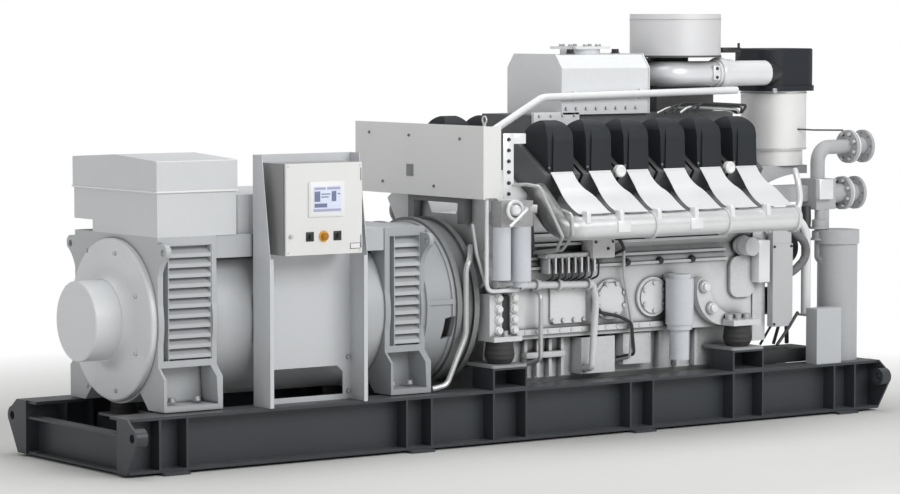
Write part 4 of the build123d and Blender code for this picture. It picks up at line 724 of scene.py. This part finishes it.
plate("strap_plate", (1.655, -0.2385, 2.062), (1.708, -0.222, 2.150), bright, edge=0.003)
bolts("strap_screws", 0.014, [((1.681, -0.2385, z), to_front) for z in (2.078, 2.132)], dark_steel)
pipe("hood_stud", 0.008, 0.01, [(1.97, -0.10, 2.20), (1.97, -0.10, 2.285)], black_plastic)
plate("hood_clasp", (2.155, -0.218, 1.975), (2.185, -0.205, 2.005), bolt_steel, edge=0.002)
pipe("filter_brace", 0.005, 0.01, [(2.35, -0.19, 1.748), (2.45, -0.26, 1.742), (2.66, -0.30, 1.738)],
     dark_steel)

# Injection and sensor lines between the banks: a bundle of thin drawn tubes, some dark and some
# pale, that dips at both ends.
for n in range(6):
    z = 1.905 + 0.012 * (n % 3)
    route = [(1.16 + 0.05 * n, -0.30 - 0.012 * n, 1.87), (1.24 + 0.04 * n, -0.31 - 0.012 * n, z),
             (1.66 + 0.03 * n, -0.32 - 0.010 * n, z - 0.02), (1.78, -0.30 - 0.010 * n, 1.86)]
    pipe(f"bank_line_{n}", 0.006 + 0.002 * (n % 2), 0.04, route, dark_steel if n % 3 else tube_grey)

# Coolant pipework at the free end: welded pipe with flanged joints, painted; the joints' gaskets
# show as pale rings.
pipe_grey = paint("pipe_grey", (0.42, 0.43, 0.44), 0.40, shift=0.05, grain=0.0008)
coat(pipe_grey, "upper_coolant_pipe", "coolant_block")
coat(paint("pale_pipe", (0.74, 0.75, 0.76), 0.36, shift=0.03), "engine_pipes")
coat(paint("column_grey", (0.44, 0.45, 0.465), 0.42, shift=0.04), "coolant_column")
line_y, bolt_circle, gasket_radius = -0.30, 0.0825, 0.1005
for label, x, z in (("upper", 2.688, 1.635), ("lower", 2.638, 1.345)):
    bolts(f"{label}_flange_bolts", 0.020, ring((x, line_y, z), bolt_circle, 8, to_left, 22.5), side_grey)
    bpy.ops.object.select_all(action="DESELECT")
    bpy.ops.mesh.primitive_torus_add(major_radius=gasket_radius, minor_radius=0.005, major_segments=40,
                                     minor_segments=8, location=(x + 0.030, line_y, z),
                                     rotation=(0, radians(90), 0))
    settle(bpy.context.object, f"{label}_joint_ring", white_plastic)
plate("block_box", (2.375, -0.405, 1.315), (2.490, -0.365, 1.440), bright, edge=0.004,
      inset=0.012, lift=0.002)
plate("belt_guard", (1.783, -0.520, 0.832), (1.873, -0.440, 1.090), bright, edge=0.006)
hose = moulded("hose_rubber", (0.13, 0.13, 0.135), 60.0)
pipe("riser_tube", 0.020, 0.05, [(1.90, -0.46, 1.14), (2.068, -0.450, 1.189), (2.149, -0.450, 1.248),
                                 (2.175, -0.450, 1.330), (2.163, -0.440, 1.445), (2.210, -0.36, 1.500)],
     bright)
pipe("coolant_hose", 0.026, 0.07, [(2.02, -0.36, 1.22), (2.094, -0.420, 1.169), (2.251, -0.420, 1.051),
                                   (2.252, -0.420, 0.958), (2.146, -0.420, 0.876), (2.08, -0.36, 0.84)],
     hose)
pipe("block_drain", 0.030, 0.02, [(2.427, -0.345, 1.26), (2.427, -0.345, 0.95), (2.428, -0.39, 0.93)],
     pipe_grey)
bolts("block_drain_flanges", 0.085, [((2.427, -0.345, z), to_top) for z in (1.13, 1.06)], pipe_grey)
pipe("block_valve", 0.030, 0.01, [(2.33, -0.33, 1.27), (2.32, -0.345, 1.19), (2.31, -0.35, 1.14)],
     dark_steel)
pipe("foot_strut", 0.010, 0.02, [(2.118, -0.500, 0.636), (2.04, -0.50, 0.54), (1.949, -0.50, 0.441)],
     dark_steel)

# The drives at the free end: turned housings and pulleys of the water pump and the alternator, with
# cable looms that run down to a tray on the skid.
drives = [("water_pump", (2.10, -0.22, 1.02), 0.130, 0.22),
          ("pump_pulley", (2.245, -0.22, 1.02), 0.105, 0.06),
          ("alternator", (2.02, -0.33, 0.70), 0.085, 0.20),
          ("idler_pulley", (2.11, -0.27, 0.87), 0.060, 0.05)]
for label, centre, radius, wide in drives:
    bpy.ops.object.select_all(action="DESELECT")
    bpy.ops.mesh.primitive_cylinder_add(vertices=36, radius=radius, depth=wide, location=centre,
                                        rotation=(0, radians(90), 0))
    turned = bpy.context.object
    pick(turned, lambda middle, normal: normal.z > 0.9)
    bpy.ops.mesh.inset(thickness=radius * 0.25)
    bpy.ops.transform.translate(value=(-0.012, 0, 0))
    bpy.ops.mesh.inset(thickness=radius * 0.35)
    bpy.ops.transform.translate(value=(0.022, 0, 0))
    bpy.ops.object.mode_set(mode="OBJECT")
    round_off = turned.modifiers.new("turned_edge", "BEVEL")
    round_off.width = 0.004
    round_off.segments = 2
    bpy.ops.object.modifier_apply(modifier="turned_edge")
    settle(turned, label, dark_steel if "pulley" in label else dim_grey)
for n in range(3):
    route = [(1.95 + 0.05 * n, -0.42, 1.14), (2.09 + 0.03 * n, -0.38, 0.98 - 0.06 * n),
             (2.10 + 0.05 * n, -0.34 + 0.02 * n, 0.62), (2.02 + 0.11 * n, -0.26, 0.42)]
    pipe(f"loom_{n}", 0.008 + 0.003 * n, 0.06, route, dark_steel)
plate("cable_tray", (1.93, -0.40, 0.315), (2.36, -0.16, 0.40), dark_steel, edge=0.004)
coat(paint("damper_black", (0.035, 0.036, 0.038), 0.5), "damper_cover")
gear_case_face, crank_height = 1.936, 0.92
bolts("gear_case_bolts", 0.024, ring((gear_case_face, 0, crank_height), 0.292, 16, to_right, 11.25), side_grey)
junction_face = -0.500
bolts("junction_screws", 0.012, [((x, junction_face, z), to_front) for x in (1.925, 2.061)
                                 for z in (0.57, 1.045)], dark_steel)
